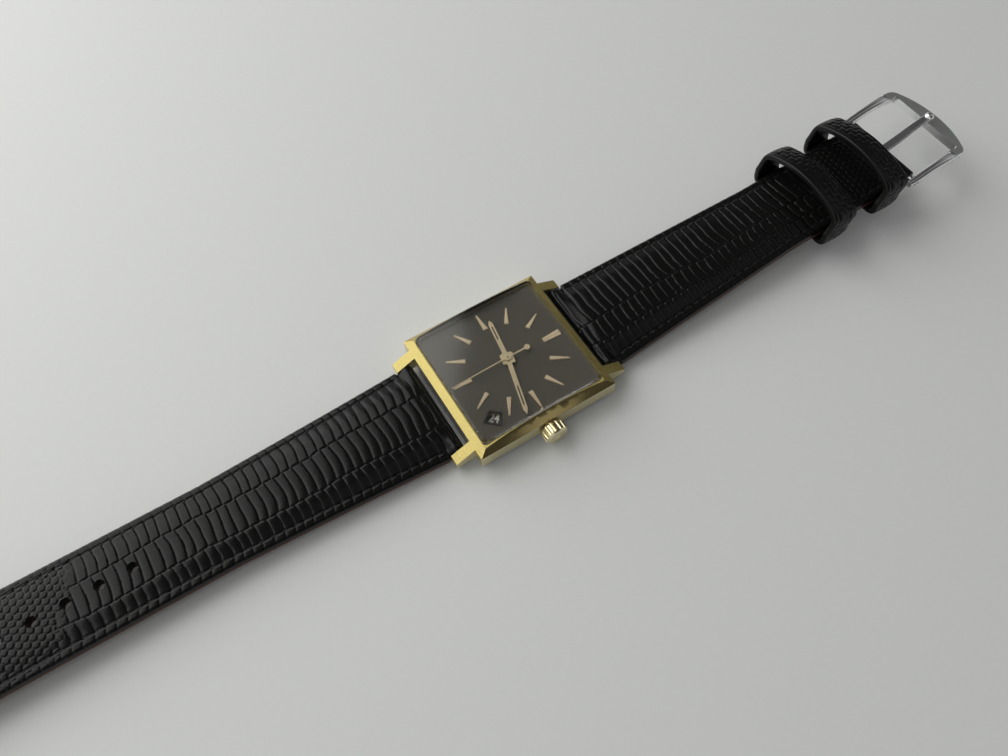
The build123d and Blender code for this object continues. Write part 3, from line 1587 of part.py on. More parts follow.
pieces = {
    "case_middle": case_middle,
    "case_back": case_back,
    "case_back_gasket": case_back_gasket,
    "crown_tube": crown_tube,
    "crystal": crystal,
    "dial": dial,
    "hour_markers": hour_markers,
    "date_window_frame": date_window_frame,
    "hour_hand": hour_hand,
    "minute_hand": minute_hand,
    "seconds_hand": seconds_hand,
    "main_plate": main_plate,
    "train_bridge": train_bridge,
    "barrel_bridge": barrel_bridge,
    "balance_cock": balance_cock,
    "pallet_bridge": pallet_bridge,
    "date_plate": date_plate,
    "movement_ring": movement_ring,
    "movement_screws": movement_screws,
    "jewels": jewels,
    "mainspring_barrel": mainspring_barrel,
    "mainspring": mainspring,
    "barrel_arbor": barrel_arbor,
    "centre_wheel": centre_wheel,
    "third_wheel": third_wheel,
    "fourth_wheel": fourth_wheel,
    "escape_wheel": escape_wheel,
    "pallet_fork": pallet_fork,
    "balance_wheel": balance_wheel,
    "hairspring": hairspring,
    "regulator": regulator,
    "ratchet_wheel": ratchet_wheel,
    "crown_wheel": crown_wheel,
    "click": click,
    "click_spring": click_spring,
    "winding_stem": winding_stem,
    "winding_pinion": winding_pinion,
    "sliding_pinion": sliding_pinion,
    "setting_lever": setting_lever,
    "setting_lever_spring": setting_lever_spring,
    "yoke": yoke,
    "cannon_pinion": cannon_pinion,
    "minute_wheel": minute_wheel,
    "hour_wheel": hour_wheel,
    "date_ring": date_ring,
    "crown": crown,
    "spring_bar_12": lambda: spring_bar(1),
    "spring_bar_6": lambda: spring_bar(-1),
    "strap_12_cover": strap_12_cover,
    "strap_12_lining": strap_12_lining,
    "strap_6_cover": strap_6_cover,
    "strap_6_lining": strap_6_lining,
    "free_keeper": lambda: keeper(free_keeper_place),
    "fixed_keeper": lambda: keeper(fixed_keeper_place),
    "buckle_frame": buckle_frame,
    "buckle_bar": buckle_bar,
    "buckle_tongue": buckle_tongue,
}

os.makedirs("parts", exist_ok=True)
for node, make in pieces.items():
    export_step(make(), os.path.join("parts", node + ".step"))
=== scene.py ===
import math

import bmesh
import bpy
from mathutils import Matrix, Quaternion, Vector, noise


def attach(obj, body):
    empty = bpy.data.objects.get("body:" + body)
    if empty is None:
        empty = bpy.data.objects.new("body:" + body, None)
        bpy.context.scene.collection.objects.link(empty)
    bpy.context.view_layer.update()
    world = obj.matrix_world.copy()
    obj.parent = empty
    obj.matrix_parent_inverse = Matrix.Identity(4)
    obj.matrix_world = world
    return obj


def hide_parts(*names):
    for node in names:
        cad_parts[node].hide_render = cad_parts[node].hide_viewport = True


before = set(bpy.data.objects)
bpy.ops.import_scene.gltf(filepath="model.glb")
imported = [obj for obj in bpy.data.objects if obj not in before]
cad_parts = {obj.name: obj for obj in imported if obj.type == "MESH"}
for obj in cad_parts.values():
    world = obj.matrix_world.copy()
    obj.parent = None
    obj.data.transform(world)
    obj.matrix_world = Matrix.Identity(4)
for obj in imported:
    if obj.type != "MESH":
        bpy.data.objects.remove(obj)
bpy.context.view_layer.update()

scene = bpy.context.scene
scene.view_settings.view_transform = "Standard"

MM = 0.001

# Edges sharper than these many degrees stay sharp
HARD_CREASE = 30
FOLD_CREASE = 40
SOFT_CREASE = 60

# Sizes shared by the strap, its thread, the keepers and the buckle, in millimetres
BAR_REACH = 16.3
BAR_HEIGHT = 2.4
STRAP_TILT = {12: 4.1, 6: 1.2}
STRAP_TURN = {12: 0, 6: 180}
UNDER_DROP = 1.3
LINING = 0.7
BAR_LOOP = 1.27
BAR_WRAP = 1.44
WRAP_START = -1.3
BAR_BORE = 0.82
NECK_WIDTH = 19.2
NECK_END = 1.9
SHOULDER_WIDTH = 20.3
BUCKLE_REACH = 73.7
BUCKLE_WIDTH = 16.4
BUCKLE_LOOP_HEIGHT = -0.2
BUCKLE_LOOP = 1.2
BUCKLE_BORE = 0.65
SLOT_WIDTH = 2.6
SLOT_LENGTH = 3.45
TAIL_REACH = 109.7
TAIL_WIDTH = 16.2
TAIL_TAPER_END = 41.0
TAIL_POINT = 12.0
HOLE_FIRST = 55.2
HOLE_PITCH = 5.5
HOLE_COUNT = 7
HOLE_RADIUS = 0.95
STITCH_INSET = 1.45
STITCH_PITCH = 2.1
ROW_PITCH = 1.78
BEAD_PITCH = 1.3
KEEPER_PLACES = {"free_keeper": 53.2, "fixed_keeper": 66.2}
KEEPER_BODIES = {"free_keeper": "free_keeper_body", "fixed_keeper": "strap_12_body"}
KEEPER_HALF = 9.35
KEEPER_LOW = -1.6
KEEPER_SHOULDER = 3.8
KEEPER_TOP = 5.9
KEEPER_LEATHER = 1.2
KEEPER_WIDTH = 5.9
KEEPER_BACK = 0.35
KEEPER_DROOP = 1.8

# The date ring's numbers
DATE_COUNT = 31
DATE_BEARING = -43.6
DATE_SHOWN = 24
DATE_RADIUS = 11.4
DATE_LEVEL = 4.0
DATE_SIZE = 2.5
DATE_WIDTH_SHARE = 0.80
DATE_PAINT = 0.006
DATE_STROKE = 0.03
DATE_LIFT = 0.008


# Small helpers

def clamp(value, low=0.0, high=1.0):
    return max(low, min(high, value))


def smooth(edge_low, edge_high, value):
    """0 below the low edge, 1 above the high one, and a soft step between."""
    share = clamp((value - edge_low) / (edge_high - edge_low))
    return share * share * (3 - 2 * share)


def blend(a, b, share):
    return a + (b - a) * share


def wander(x, y, z):
    """Smooth noise about zero, the same at the same place."""
    return noise.noise(Vector((x, y, z)))


def lay_strap(side):
    """The matrix that takes a strap built straight along +Y from its bar to its place."""
    turn = Matrix.Rotation(math.radians(STRAP_TURN[side]), 4, "Z")
    rise = Matrix.Rotation(math.radians(STRAP_TILT[side]), 4, "X")
    return turn @ Matrix.Translation((0, BAR_REACH, BAR_HEIGHT)) @ rise


def add_piece(bm, name, body, materials, place, crease):
    """Turns a bmesh in millimetres into a finished piece that rides on a body."""
    bmesh.ops.transform(bm, matrix=place, verts=bm.verts)
    bmesh.ops.scale(bm, vec=(MM, MM, MM), verts=bm.verts)
    bmesh.ops.recalc_face_normals(bm, faces=bm.faces)
    mesh = bpy.data.meshes.new(name)
    bm.to_mesh(mesh)
    bm.free()
    mesh.shade_smooth()
    mesh.set_sharp_from_angle(angle=math.radians(crease))
    piece = bpy.data.objects.new(name, mesh)
    scene.collection.objects.link(piece)
    for material in materials:
        mesh.materials.append(material)
    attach(piece, body)
    return piece


# Shader helpers

class Nodes:
    """Short calls that add and join the nodes of one tree."""

    def __init__(self, tree):
        self.tree = tree

    def join(self, value, socket):
        if isinstance(value, bpy.types.NodeSocket):
            self.tree.links.new(value, socket)
        elif socket.type == "RGBA" and len(value) == 3:
            socket.default_value = (*value, 1.0)
        else:
            socket.default_value = value

    def add(self, kind, links=None, **settings):
        node = self.tree.nodes.new(kind)
        for key, value in settings.items():
            setattr(node, key, value)
        for key, value in (links or {}).items():
            self.join(value, node.inputs[key])
        return node

    def position(self, stretch=(1.0, 1.0, 1.0), turn=(0.0, 0.0, 0.0)):
        """Object coordinates in millimetres, stretched and turned."""
        where = self.add("ShaderNodeTexCoord").outputs["Object"]
        in_mm = self.add("ShaderNodeVectorMath", {0: where, "Scale": 1 / MM}, operation="SCALE")
        values = {"Vector": in_mm.outputs[0], "Rotation": turn, "Scale": stretch}
        return self.add("ShaderNodeMapping", values).outputs["Vector"]

    def noise(self, vector, scale, detail=3.0, roughness=0.55, distortion=0.0):
        node = self.add("ShaderNodeTexNoise", {
            "Vector": vector, "Scale": scale, "Detail": detail, "Roughness": roughness,
            "Distortion": distortion,
        })
        return node.outputs["Fac"]

    def ramp(self, source, stops):
        node = self.add("ShaderNodeValToRGB", {"Fac": source})
        elements = node.color_ramp.elements
        while len(elements) < len(stops):
            elements.new(0.5)
        for element, (place, color) in zip(elements, stops):
            element.position = place
            element.color = (*color, 1.0)
        return node.outputs["Color"]

    def spread(self, source, low, high, to_low, to_high):
        node = self.add("ShaderNodeMapRange", {
            "Value": source, "From Min": low, "From Max": high, "To Min": to_low, "To Max": to_high,
        })
        return node.outputs["Result"]

    def math(self, operation, a, b=0.0):
        node = self.add("ShaderNodeMath", {0: a, 1: b}, operation=operation)
        return node.outputs["Value"]

    def mix(self, share, a, b):
        return self.add("ShaderNodeMix", {0: share, 6: a, 7: b}, data_type="RGBA").outputs[2]

    def place_group(self, group, **values):
        """Puts a shared effect into this tree with its own values and returns its outputs."""
        node = self.add("ShaderNodeGroup", node_tree=group)
        for key, value in values.items():
            self.join(value, node.inputs[key.replace("_", " ")])
        return node.outputs


class Finish(Nodes):
    """A material with one Principled shader."""

    def __init__(self, name, **values):
        self.material = bpy.data.materials.new(name)
        self.material.use_nodes = True
        super().__init__(self.material.node_tree)
        self.surface = self.tree.nodes["Principled BSDF"]
        for key, value in values.items():
            self.surface.inputs[key.replace("_", " ")].default_value = value

    def feed(self, socket, source):
        self.tree.links.new(source, self.surface.inputs[socket])

    def bump(self, height, strength, distance):
        node = self.add("ShaderNodeBump", {"Height": height, "Strength": strength, "Distance": distance})
        self.feed("Normal", node.outputs["Normal"])


def start_group(name, inputs, outputs):
    """An empty shader group with its named inputs and outputs."""
    tree = bpy.data.node_groups.new(name, "ShaderNodeTree")
    for label, kind, value in inputs:
        socket = tree.interface.new_socket(label, in_out="INPUT", socket_type=kind)
        socket.default_value = value
    for label in outputs:
        tree.interface.new_socket(label, in_out="OUTPUT", socket_type="NodeSocketFloat")
    nodes = Nodes(tree)
    return nodes, nodes.add("NodeGroupInput").outputs, nodes.add("NodeGroupOutput").inputs


# Effects that several finishes share

def make_brush_lines():
    """Fine parallel lines of a brushed metal, with speckle and slow clouds."""
    nodes, given, made = start_group(
        "fine brush lines",
        [("Stretch", "NodeSocketVector", (1.0, 1.0, 1.0)), ("Fineness", "NodeSocketFloat", 2.2)],
        ["Lines", "Speckle", "Clouds"],
    )
    lines = nodes.noise(nodes.position(given["Stretch"]), given["Fineness"], 4.0, 0.7)
    speckle = nodes.noise(nodes.position(), 9.0, 2.0, 0.6)
    clouds = nodes.noise(nodes.position(), 0.35, 2.0)
    for label, value in (("Lines", lines), ("Speckle", speckle), ("Clouds", clouds)):
        nodes.join(value, made[label])
    return nodes.tree


def make_handling_wear():
    """Faint crossing scratches and haze of a polished surface that has been worn."""
    nodes, given, made = start_group(
        "handling wear", [("Fineness", "NodeSocketFloat", 1.6)], ["Scratches", "Haze"]
    )
    along = nodes.noise(nodes.position((3.0, 0.35, 3.0), (0.4, 0.2, 0.7)), given["Fineness"], 5.0, 0.75)
    across = nodes.noise(nodes.position((0.4, 3.0, 3.0), (0.1, 0.3, 0.5)), given["Fineness"], 5.0, 0.75)
    nodes.join(nodes.math("MAXIMUM", along, across), made["Scratches"])
    nodes.join(nodes.noise(nodes.position(), 0.5, 2.0), made["Haze"])
    return nodes.tree


def make_leather_grain():
    """Pores and soft wrinkles of a tanned hide."""
    nodes, given, made = start_group(
        "leather grain",
        [("Pore Size", "NodeSocketFloat", 6.0), ("Wrinkle Size", "NodeSocketFloat", 1.4)],
        ["Pores", "Wrinkles"],
    )
    nodes.join(nodes.noise(nodes.position(), given["Pore Size"], 4.0, 0.6), made["Pores"])
    nodes.join(nodes.noise(nodes.position(), given["Wrinkle Size"], 4.0, 0.6, 0.6), made["Wrinkles"])
    return nodes.tree


brush_lines = make_brush_lines()
handling_wear = make_handling_wear()
leather_grain = make_leather_grain()


# Finishes

def brushed_gold(name, stretch, base, worn):
    """Yellow gold with short brush strokes along one direction and fine bright speckle."""
    finish = Finish(name, Metallic=1.0)
    brushed = finish.place_group(brush_lines, Stretch=stretch, Fineness=2.2)
    tone = finish.math("MULTIPLY", finish.math("ADD", brushed["Lines"], brushed["Speckle"]), 0.5)
    dark = tuple(0.60 * channel for channel in base)
    light = tuple(min(1.0, 1.20 * channel) for channel in base)
    color = finish.ramp(tone, [(0.38, dark), (0.60, light)])
    finish.feed("Base Color", finish.mix(finish.spread(brushed["Clouds"], 0.4, 0.7, 0.0, 0.3), color, worn))
    finish.feed("Roughness", finish.spread(tone, 0.3, 0.7, 0.40, 0.58))
    finish.bump(tone, 0.9, 0.00006)
    return finish.material


def polished_metal(name, base, roughness):
    """Polished metal with faint handling scratches."""
    finish = Finish(name, Metallic=1.0)
    worn = finish.place_group(handling_wear, Fineness=1.6)
    deep = tuple(0.86 * channel for channel in base)
    finish.feed("Base Color", finish.mix(worn["Haze"], deep, base))
    finish.feed("Roughness", finish.spread(worn["Scratches"], 0.45, 0.8, roughness, roughness + 0.12))
    finish.bump(worn["Scratches"], 0.06, 0.00002)
    return finish.material


def satin_metal(name, base, stretch, roughness, strength=0.1):
    """Satin metal with fine lines along one direction."""
    finish = Finish(name, Metallic=1.0)
    brushed = finish.place_group(brush_lines, Stretch=stretch, Fineness=2.0)
    darker = tuple(0.84 * channel for channel in base)
    finish.feed("Base Color", finish.mix(brushed["Clouds"], darker, base))
    finish.feed("Roughness", finish.spread(brushed["Lines"], 0.3, 0.7, roughness, roughness + 0.12))
    finish.bump(brushed["Lines"], strength, 0.00002)
    return finish.material


def dial_finish():
    """Anthracite lacquer with a soft sunburst and tiny dust."""
    finish = Finish("anthracite sunburst", Metallic=0.15, IOR=1.45)
    where = finish.add("ShaderNodeTexCoord").outputs["Object"]
    split = finish.add("ShaderNodeSeparateXYZ", {"Vector": where})
    angle = finish.math("ARCTAN2", split.outputs["Y"], split.outputs["X"])
    ray = finish.add("ShaderNodeCombineXYZ", {"X": angle})
    rays = finish.noise(ray.outputs["Vector"], 60.0, 3.0, 0.7)
    brushed = finish.place_group(brush_lines, Stretch=(1.0, 1.0, 1.0), Fineness=5.0)
    tone = finish.ramp(rays, [(0.30, (0.046, 0.041, 0.028)), (0.70, (0.062, 0.055, 0.038))])
    dusty = finish.mix(finish.spread(brushed["Speckle"], 0.66, 0.78, 0.0, 0.5), tone, (0.11, 0.105, 0.08))
    aged = finish.mix(finish.spread(brushed["Clouds"], 0.3, 0.7, 0.0, 0.6), dusty, (0.052, 0.047, 0.035))
    finish.feed("Base Color", aged)
    finish.feed("Roughness", finish.spread(rays, 0.3, 0.7, 0.40, 0.52))
    finish.bump(rays, 0.08, 0.00001)
    return finish.material


def black_hide(name, scaled):
    """Black satin leather; scales come from the mesh, and painted shade darkens their grooves where its
    height attribute is low.
    """
    finish = Finish(name, IOR=1.42, Specular_IOR_Level=0.27)
    grain = finish.place_group(leather_grain, Pore_Size=6.0, Wrinkle_Size=1.4)
    color = finish.mix(grain["Pores"], (0.0035, 0.0035, 0.0032), (0.0075, 0.0075, 0.0070))
    rough = finish.spread(grain["Pores"], 0.3, 0.7, 0.17, 0.28)
    if scaled:
        # Painted shade: where the height attribute is low, in the grooves between scales and in the sewing
        # groove, the colour goes near black.
        depth = finish.add("ShaderNodeAttribute", attribute_name="scale_height").outputs["Fac"]
        color = finish.mix(finish.spread(depth, 0.05, 0.6, 0.0, 1.0), (0.0012, 0.0012, 0.0012), color)
    finish.feed("Base Color", color)
    finish.feed("Roughness", rough)
    relief = finish.math("ADD", grain["Pores"], finish.math("MULTIPLY", grain["Wrinkles"], 1.2))
    finish.bump(relief, 0.16, 0.00005)
    return finish.material


def lining_hide():
    """The dark reddish-brown leather against the wrist."""
    finish = Finish("brown lining leather", IOR=1.45)
    grain = finish.place_group(leather_grain, Pore_Size=5.0, Wrinkle_Size=0.8)
    stain = finish.ramp(grain["Pores"], [(0.3, (0.055, 0.020, 0.012)), (0.7, (0.110, 0.045, 0.026))])
    dark = finish.spread(grain["Wrinkles"], 0.5, 0.7, 0.0, 0.5)
    finish.feed("Base Color", finish.mix(dark, stain, (0.05, 0.02, 0.012)))
    finish.feed("Roughness", finish.spread(grain["Pores"], 0.3, 0.7, 0.55, 0.75))
    finish.bump(grain["Pores"], 0.3, 0.00005)
    return finish.material


def waxed_thread():
    """Twisted black thread."""
    finish = Finish("black waxed thread", IOR=1.45)
    turned = finish.position((1.0, 1.0, 1.0), (0.0, 0.0, 0.6))
    twist = finish.add("ShaderNodeTexWave", {"Vector": turned, "Scale": 1.6}).outputs["Fac"]
    finish.feed("Base Color", finish.mix(twist, (0.004, 0.004, 0.004), (0.014, 0.014, 0.014)))
    finish.feed("Roughness", finish.spread(twist, 0.0, 1.0, 0.45, 0.6))
    finish.bump(twist, 0.5, 0.00005)
    return finish.material


def clear_acrylic():
    """Clear arched acrylic, scuffed along its rim, which lets light through to the dial."""
    finish = Finish("scuffed acrylic", Transmission_Weight=1.0, IOR=1.49)
    worn = finish.place_group(handling_wear, Fineness=0.9)
    finish.feed("Base Color", finish.mix(worn["Haze"], (0.985, 0.99, 0.985), (1.0, 1.0, 1.0)))
    sides = finish.add("ShaderNodeSeparateXYZ", {"Vector": finish.position()}).outputs
    out = finish.math("MAXIMUM", finish.math("ABSOLUTE", sides["X"]), finish.math("ABSOLUTE", sides["Y"]))
    rim = finish.spread(out, 11.7, 12.4, 0.0, 0.28)
    scuffs = finish.math("MULTIPLY", finish.spread(worn["Scratches"], 0.48, 0.75, 0.0, 1.0), rim)
    haze = finish.spread(worn["Scratches"], 0.62, 0.85, 0.14, 0.20)
    finish.feed("Roughness", finish.math("ADD", scuffs, haze))
    clear = finish.add("ShaderNodeBsdfTransparent", {"Color": (0.97, 0.97, 0.96)})
    path = finish.add("ShaderNodeLightPath")
    choice = finish.add("ShaderNodeMixShader")
    finish.join(path.outputs["Is Shadow Ray"], choice.inputs[0])
    finish.join(finish.surface.outputs["BSDF"], choice.inputs[1])
    finish.join(clear.outputs["BSDF"], choice.inputs[2])
    finish.join(choice.outputs["Shader"], finish.tree.nodes["Material Output"].inputs["Surface"])
    return finish.material


def enamel(name, base, roughness):
    """Paint or polished stone with a fine uneven tone."""
    finish = Finish(name, IOR=1.5)
    brushed = finish.place_group(brush_lines, Stretch=(1.0, 1.0, 1.0), Fineness=8.0)
    lighter = tuple(channel * 1.25 + 0.004 for channel in base)
    finish.feed("Base Color", finish.mix(brushed["Speckle"], base, lighter))
    finish.feed("Roughness", finish.spread(brushed["Lines"], 0.3, 0.7, roughness, roughness + 0.12))
    return finish.material


# The case's one gold in tones set by which way its faces point: the upward facets darker as painted shade,
# the upright walls paler as painted light.
gold_top_painted_shade = brushed_gold("brushed yellow gold with painted shade", (0.6, 12.0, 6.0), (0.57, 0.475, 0.175), (0.50, 0.405, 0.16))
gold_bevel = polished_metal("polished gold bevels", (0.73, 0.58, 0.25), 0.12)
gold_wall_painted_light = satin_metal("satin gold walls with painted light", (0.82, 0.74, 0.46), (0.5, 0.5, 12.0), 0.28, 0.12)
gold_crown = polished_metal("polished gold crown", (0.84, 0.75, 0.48), 0.14)
gold_hand = polished_metal("polished gold hands", (0.90, 0.76, 0.50), 0.32)
gold_marker = polished_metal("polished gold markers", (0.94, 0.77, 0.52), 0.34)
back_steel = satin_metal("satin case back steel", (0.42, 0.40, 0.42), (0.5, 8.0, 6.0), 0.32)
work_steel = polished_metal("polished movement steel", (0.62, 0.61, 0.60), 0.18)
buckle_satin = satin_metal("satin buckle steel", (0.70, 0.72, 0.70), (0.5, 8.0, 4.0), 0.40)
buckle_polished = polished_metal("polished buckle steel", (0.92, 0.93, 0.92), 0.16)
brass = polished_metal("polished wheel brass", (0.78, 0.58, 0.26), 0.18)
plate_brass = satin_metal("satin plate brass", (0.70, 0.54, 0.28), (3.0, 3.0, 3.0), 0.30)
nickel = satin_metal("nickel plated bridges", (0.62, 0.60, 0.55), (0.4, 9.0, 4.0), 0.26)
blued = polished_metal("blued screw steel", (0.06, 0.09, 0.28), 0.14)
ruby = enamel("ruby jewels", (0.40, 0.01, 0.06), 0.08)
black_enamel = enamel("black window frame", (0.010, 0.010, 0.010), 0.25)
date_black = enamel("black date ring", (0.008, 0.008, 0.008), 0.45)
date_white = enamel("white date numbers", (0.62, 0.60, 0.54), 0.5)
seal_rubber = enamel("black seal rubber", (0.012, 0.012, 0.012), 0.6)
dial_lacquer = dial_finish()
scaled_leather = black_hide("black scaled leather", True)
plain_leather = black_hide("black folded leather", False)
inner_leather = lining_hide()
strap_thread = waxed_thread()
crystal_acrylic = clear_acrylic()


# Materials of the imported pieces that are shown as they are

FACES_UP = 0.3
LEANS_ASIDE = 0.2
FACES_STRAIGHT_UP = 0.9
BUCKLE_BOW_START = 9.6
WELD_GAP = 0.002
BEVEL_ANGLE = 28

# Width in millimetres and steps of the rounding on each piece's sharp edges
SOFT_EDGES = {
    "case_middle": (0.09, 2),
    "crown": (0.05, 2),
    "hour_markers": (0.025, 1),
    "hour_hand": (0.02, 1),
    "minute_hand": (0.02, 1),
    "date_window_frame": (0.02, 1),
    "buckle_frame": (0.22, 3),
}


def paint_node(node, *materials):
    """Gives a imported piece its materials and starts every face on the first."""
    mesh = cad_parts[node].data
    mesh.materials.clear()
    for material in materials:
        mesh.materials.append(material)
    for polygon in mesh.polygons:
        polygon.material_index = 0
    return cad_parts[node]


plain_finishes = {
    back_steel: ["case_back"],
    seal_rubber: ["case_back_gasket"],
    plate_brass: ["crown_tube", "main_plate", "date_plate", "movement_ring"],
    dial_lacquer: ["dial"],
    gold_marker: ["hour_markers"],
    black_enamel: ["date_window_frame"],
    gold_hand: ["hour_hand", "minute_hand", "seconds_hand"],
    nickel: ["train_bridge", "barrel_bridge", "balance_cock", "pallet_bridge"],
    blued: ["movement_screws"],
    ruby: ["jewels"],
    brass: [
        "mainspring_barrel", "centre_wheel", "third_wheel", "fourth_wheel", "balance_wheel",
        "minute_wheel", "hour_wheel",
    ],
    work_steel: [
        "mainspring", "barrel_arbor", "escape_wheel", "pallet_fork", "hairspring", "regulator",
        "ratchet_wheel", "crown_wheel", "click", "click_spring", "winding_stem", "winding_pinion",
        "sliding_pinion", "setting_lever", "setting_lever_spring", "yoke", "cannon_pinion",
        "spring_bar_12", "spring_bar_6", "buckle_bar",
    ],
    date_black: ["date_ring"],
    crystal_acrylic: ["crystal"],
    gold_crown: ["crown"],
    buckle_polished: ["buckle_tongue"],
}
for material, nodes in plain_finishes.items():
    for node in nodes:
        paint_node(node, material)


def finish_case():
    """Brushed end facets and lugs, polished side bevels and satin upright walls; the upward facets carry a
    darker gold as painted shade and the upright walls a paler gold as painted light.
    """
    case = paint_node("case_middle", gold_wall_painted_light, gold_top_painted_shade, gold_bevel)
    for polygon in case.data.polygons:
        normal = polygon.normal
        if normal.z > FACES_UP and abs(normal.x) > LEANS_ASIDE:
            polygon.material_index = 2
        elif normal.z > FACES_UP:
            polygon.material_index = 1


def finish_buckle():
    """The flat top of the bow is satin, and the arms, edges and inner walls are polished."""
    buckle = paint_node("buckle_frame", buckle_polished, buckle_satin)
    bow_start = (BAR_REACH + BUCKLE_REACH + BUCKLE_BOW_START) * MM
    for polygon in buckle.data.polygons:
        if polygon.center.y > bow_start and polygon.normal.z > FACES_STRAIGHT_UP:
            polygon.material_index = 1


def soften(node, width, segments):
    """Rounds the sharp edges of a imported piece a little, as real ones are."""
    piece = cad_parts[node]
    join = piece.modifiers.new("join", "WELD")
    join.merge_threshold = WELD_GAP * MM
    bevel = piece.modifiers.new("soft edges", "BEVEL")
    bevel.width = width * MM
    bevel.segments = segments
    bevel.limit_method = "ANGLE"
    bevel.angle_limit = math.radians(BEVEL_ANGLE)
    bevel.harden_normals = True


finish_case()
finish_buckle()
for node, (width, segments) in SOFT_EDGES.items():
    soften(node, width, segments)


# The numbers printed on the date ring

def print_dates():
    """The numbers 1 to 31, with their tops towards the dial's centre."""
    bm = bmesh.new()
    for number in range(1, DATE_COUNT + 1):
        letters = bpy.data.curves.new("number", "FONT")
        letters.body = str(number)
        letters.size = DATE_SIZE
        letters.align_x = "CENTER"
        letters.align_y = "CENTER"
        letters.extrude = DATE_PAINT
        letters.offset = DATE_STROKE
        letters.space_character = 0.92
        letters.resolution_u = 4
        shown = bpy.data.objects.new("number", letters)
        scene.collection.objects.link(shown)
        graph = bpy.context.evaluated_depsgraph_get()
        mesh = bpy.data.meshes.new_from_object(shown.evaluated_get(graph))
        bearing = math.radians(DATE_BEARING - (number - DATE_SHOWN) * 360 / DATE_COUNT)
        out = Matrix.Translation((DATE_RADIUS, 0, DATE_LEVEL + DATE_LIFT))
        stand = Matrix.Rotation(math.radians(90), 4, "Z")
        narrow = Matrix.Diagonal((DATE_WIDTH_SHARE, 1.0, 1.0, 1.0))
        mesh.transform(Matrix.Rotation(bearing, 4, "Z") @ out @ stand @ narrow)
        bm.from_mesh(mesh)
        bpy.data.objects.remove(shown)
        bpy.data.meshes.remove(mesh)
    flat = Matrix.Identity(4)
    add_piece(bm, "date_numbers", "date_ring_body", [date_white], flat, HARD_CREASE)


print_dates()


# Strap leather

STRAP_END = {12: BUCKLE_REACH, 6: TAIL_REACH}
FAR_WIDTH = {12: BUCKLE_WIDTH, 6: TAIL_WIDTH}
TAPER_END = {12: BUCKLE_REACH * 0.6, 6: TAIL_TAPER_END}
TAPER_BEND = {12: 1.0, 6: 0.85}
NECK_STEP = (-0.25, 0.15)
POINT_BLUNTNESS = 0.6
POINT_STOP_SHARE = 0.9995

# The cover's thickness by the lugs and at its far end, and where its padding rises from the edge
COVER_LOW = LINING - UNDER_DROP
MIDDLE_THICKNESS = (2.4, 1.5)
EDGE_THICKNESS = (1.0, 1.2)
PADDING_RUN = (0.9, 4.2)
BAR_RUN = 1.8
EDGE_ROLL = 0.30
EDGE_ROLL_RUN = 0.5
EDGE_DROPS = (0.12, 0.45)

# The grid that carries the scales, and how much of it lies before the tail's point
COVER_ROWS = {12: 520, 6: 740}
COVER_COLUMNS = {12: 126, 6: 118}
POINT_ROWS_SHARE = 0.85
POINT_START_SHARE = 0.918
MERGE = 0.002

# The lizard grain: the lines between its columns of scales, and how far lines and rows stray
SCALE_LINES = {12: (0.6, 5.2), 6: (-4.3, 3.0)}
SCALE_EDGE = 9.0
STAGGER_SHARES = (0.0, 0.52, 0.24)
LINE_SWAY = 0.9
LINE_SHIVER = 0.35
ROW_BOW = 0.25
ROW_SWAY = 0.30
ROW_SHIVER = 0.25
SCALE_GROOVE = 0.25
SCALE_BACK = 0.80
SCALE_PILLOW = 0.05
RELIEF_DEPTH = 0.17
RELIEF_LEVEL = 0.9

# The small beads that take over from the scales towards the far ends
BEAD_START = {12: 57.0, 6: 66.0}
BEAD_SLANT = {12: 0.0, 6: 0.45}
BEAD_BORDER = (-1.5, 2.0)
BEAD_BORDER_SWAY = 1.6
BEAD_SWAY = 0.25
BEAD_FLOOR = 0.15
BEAD_GROOVE = 0.22
BEAD_ROW_SHARE = 0.866

# Sewing
SEAM_DEPTH = 0.16
SEAM_WIDTH = 0.17
STITCH_START = 1.2
STITCH_STOP = {12: 3.0, 6: TAIL_POINT + 1.0}
STITCH_SLANT = 4
STITCH_LENGTH_SHARE = 0.40
THREAD_HALF_WIDTH = 0.15
THREAD_HALF_HEIGHT = 0.11
THREAD_SINK = 0.17

# Cuts and folded ends
ROUND_SEGMENTS = 40
ROD_LENGTH = 30.0
PUNCH_LENGTH = 10.0
PUNCH_HEIGHT = 1.0
SLOT_CORNER = 0.5
LOOP_SEGMENTS = 48
LOOP_CORNER = 0.22
LOOP_END_GAP = 0.03
TOUCH = 0.001
CLOSE = 0.01

# Lining
LINING_ROWS = 120
LINING_COLUMNS = 10
LINING_START = 1.0
LINING_SHORT = {12: 2.2, 6: 0.0}
LINING_SHARE = 0.995
LINING_GAP = 0.01


def strap_half(side, reach):
    """Half the strap's width: narrow between the lugs, tapering, and on the tail drawn in to a point."""
    taper = clamp((reach - NECK_END) / (TAPER_END[side] - NECK_END))
    half = blend(SHOULDER_WIDTH, FAR_WIDTH[side], taper ** TAPER_BEND[side]) / 2
    start = TAIL_REACH - TAIL_POINT
    if side == 6 and reach > start:
        share = clamp((reach - start) / TAIL_POINT, 0.0, POINT_STOP_SHARE)
        half *= (1 - share * share) ** POINT_BLUNTNESS
    narrow, wide = (NECK_END + step for step in NECK_STEP)
    return blend(NECK_WIDTH / 2, half, smooth(narrow, wide, reach))


def bead_gap(x, y):
    """Distance to the border between the two nearest beads of a staggered field."""
    row_height = BEAD_PITCH * BEAD_ROW_SHARE
    row = math.floor(y / row_height)
    found = []
    for line in (row - 1, row, row + 1, row + 2):
        shift = 0.5 * BEAD_PITCH * (line % 2)
        column = round((x - shift) / BEAD_PITCH)
        for step in (-1, 0, 1):
            centre_x = (column + step) * BEAD_PITCH + shift
            found.append(math.hypot(x - centre_x, y - line * row_height))
    found.sort()
    return (found[1] - found[0]) / 2


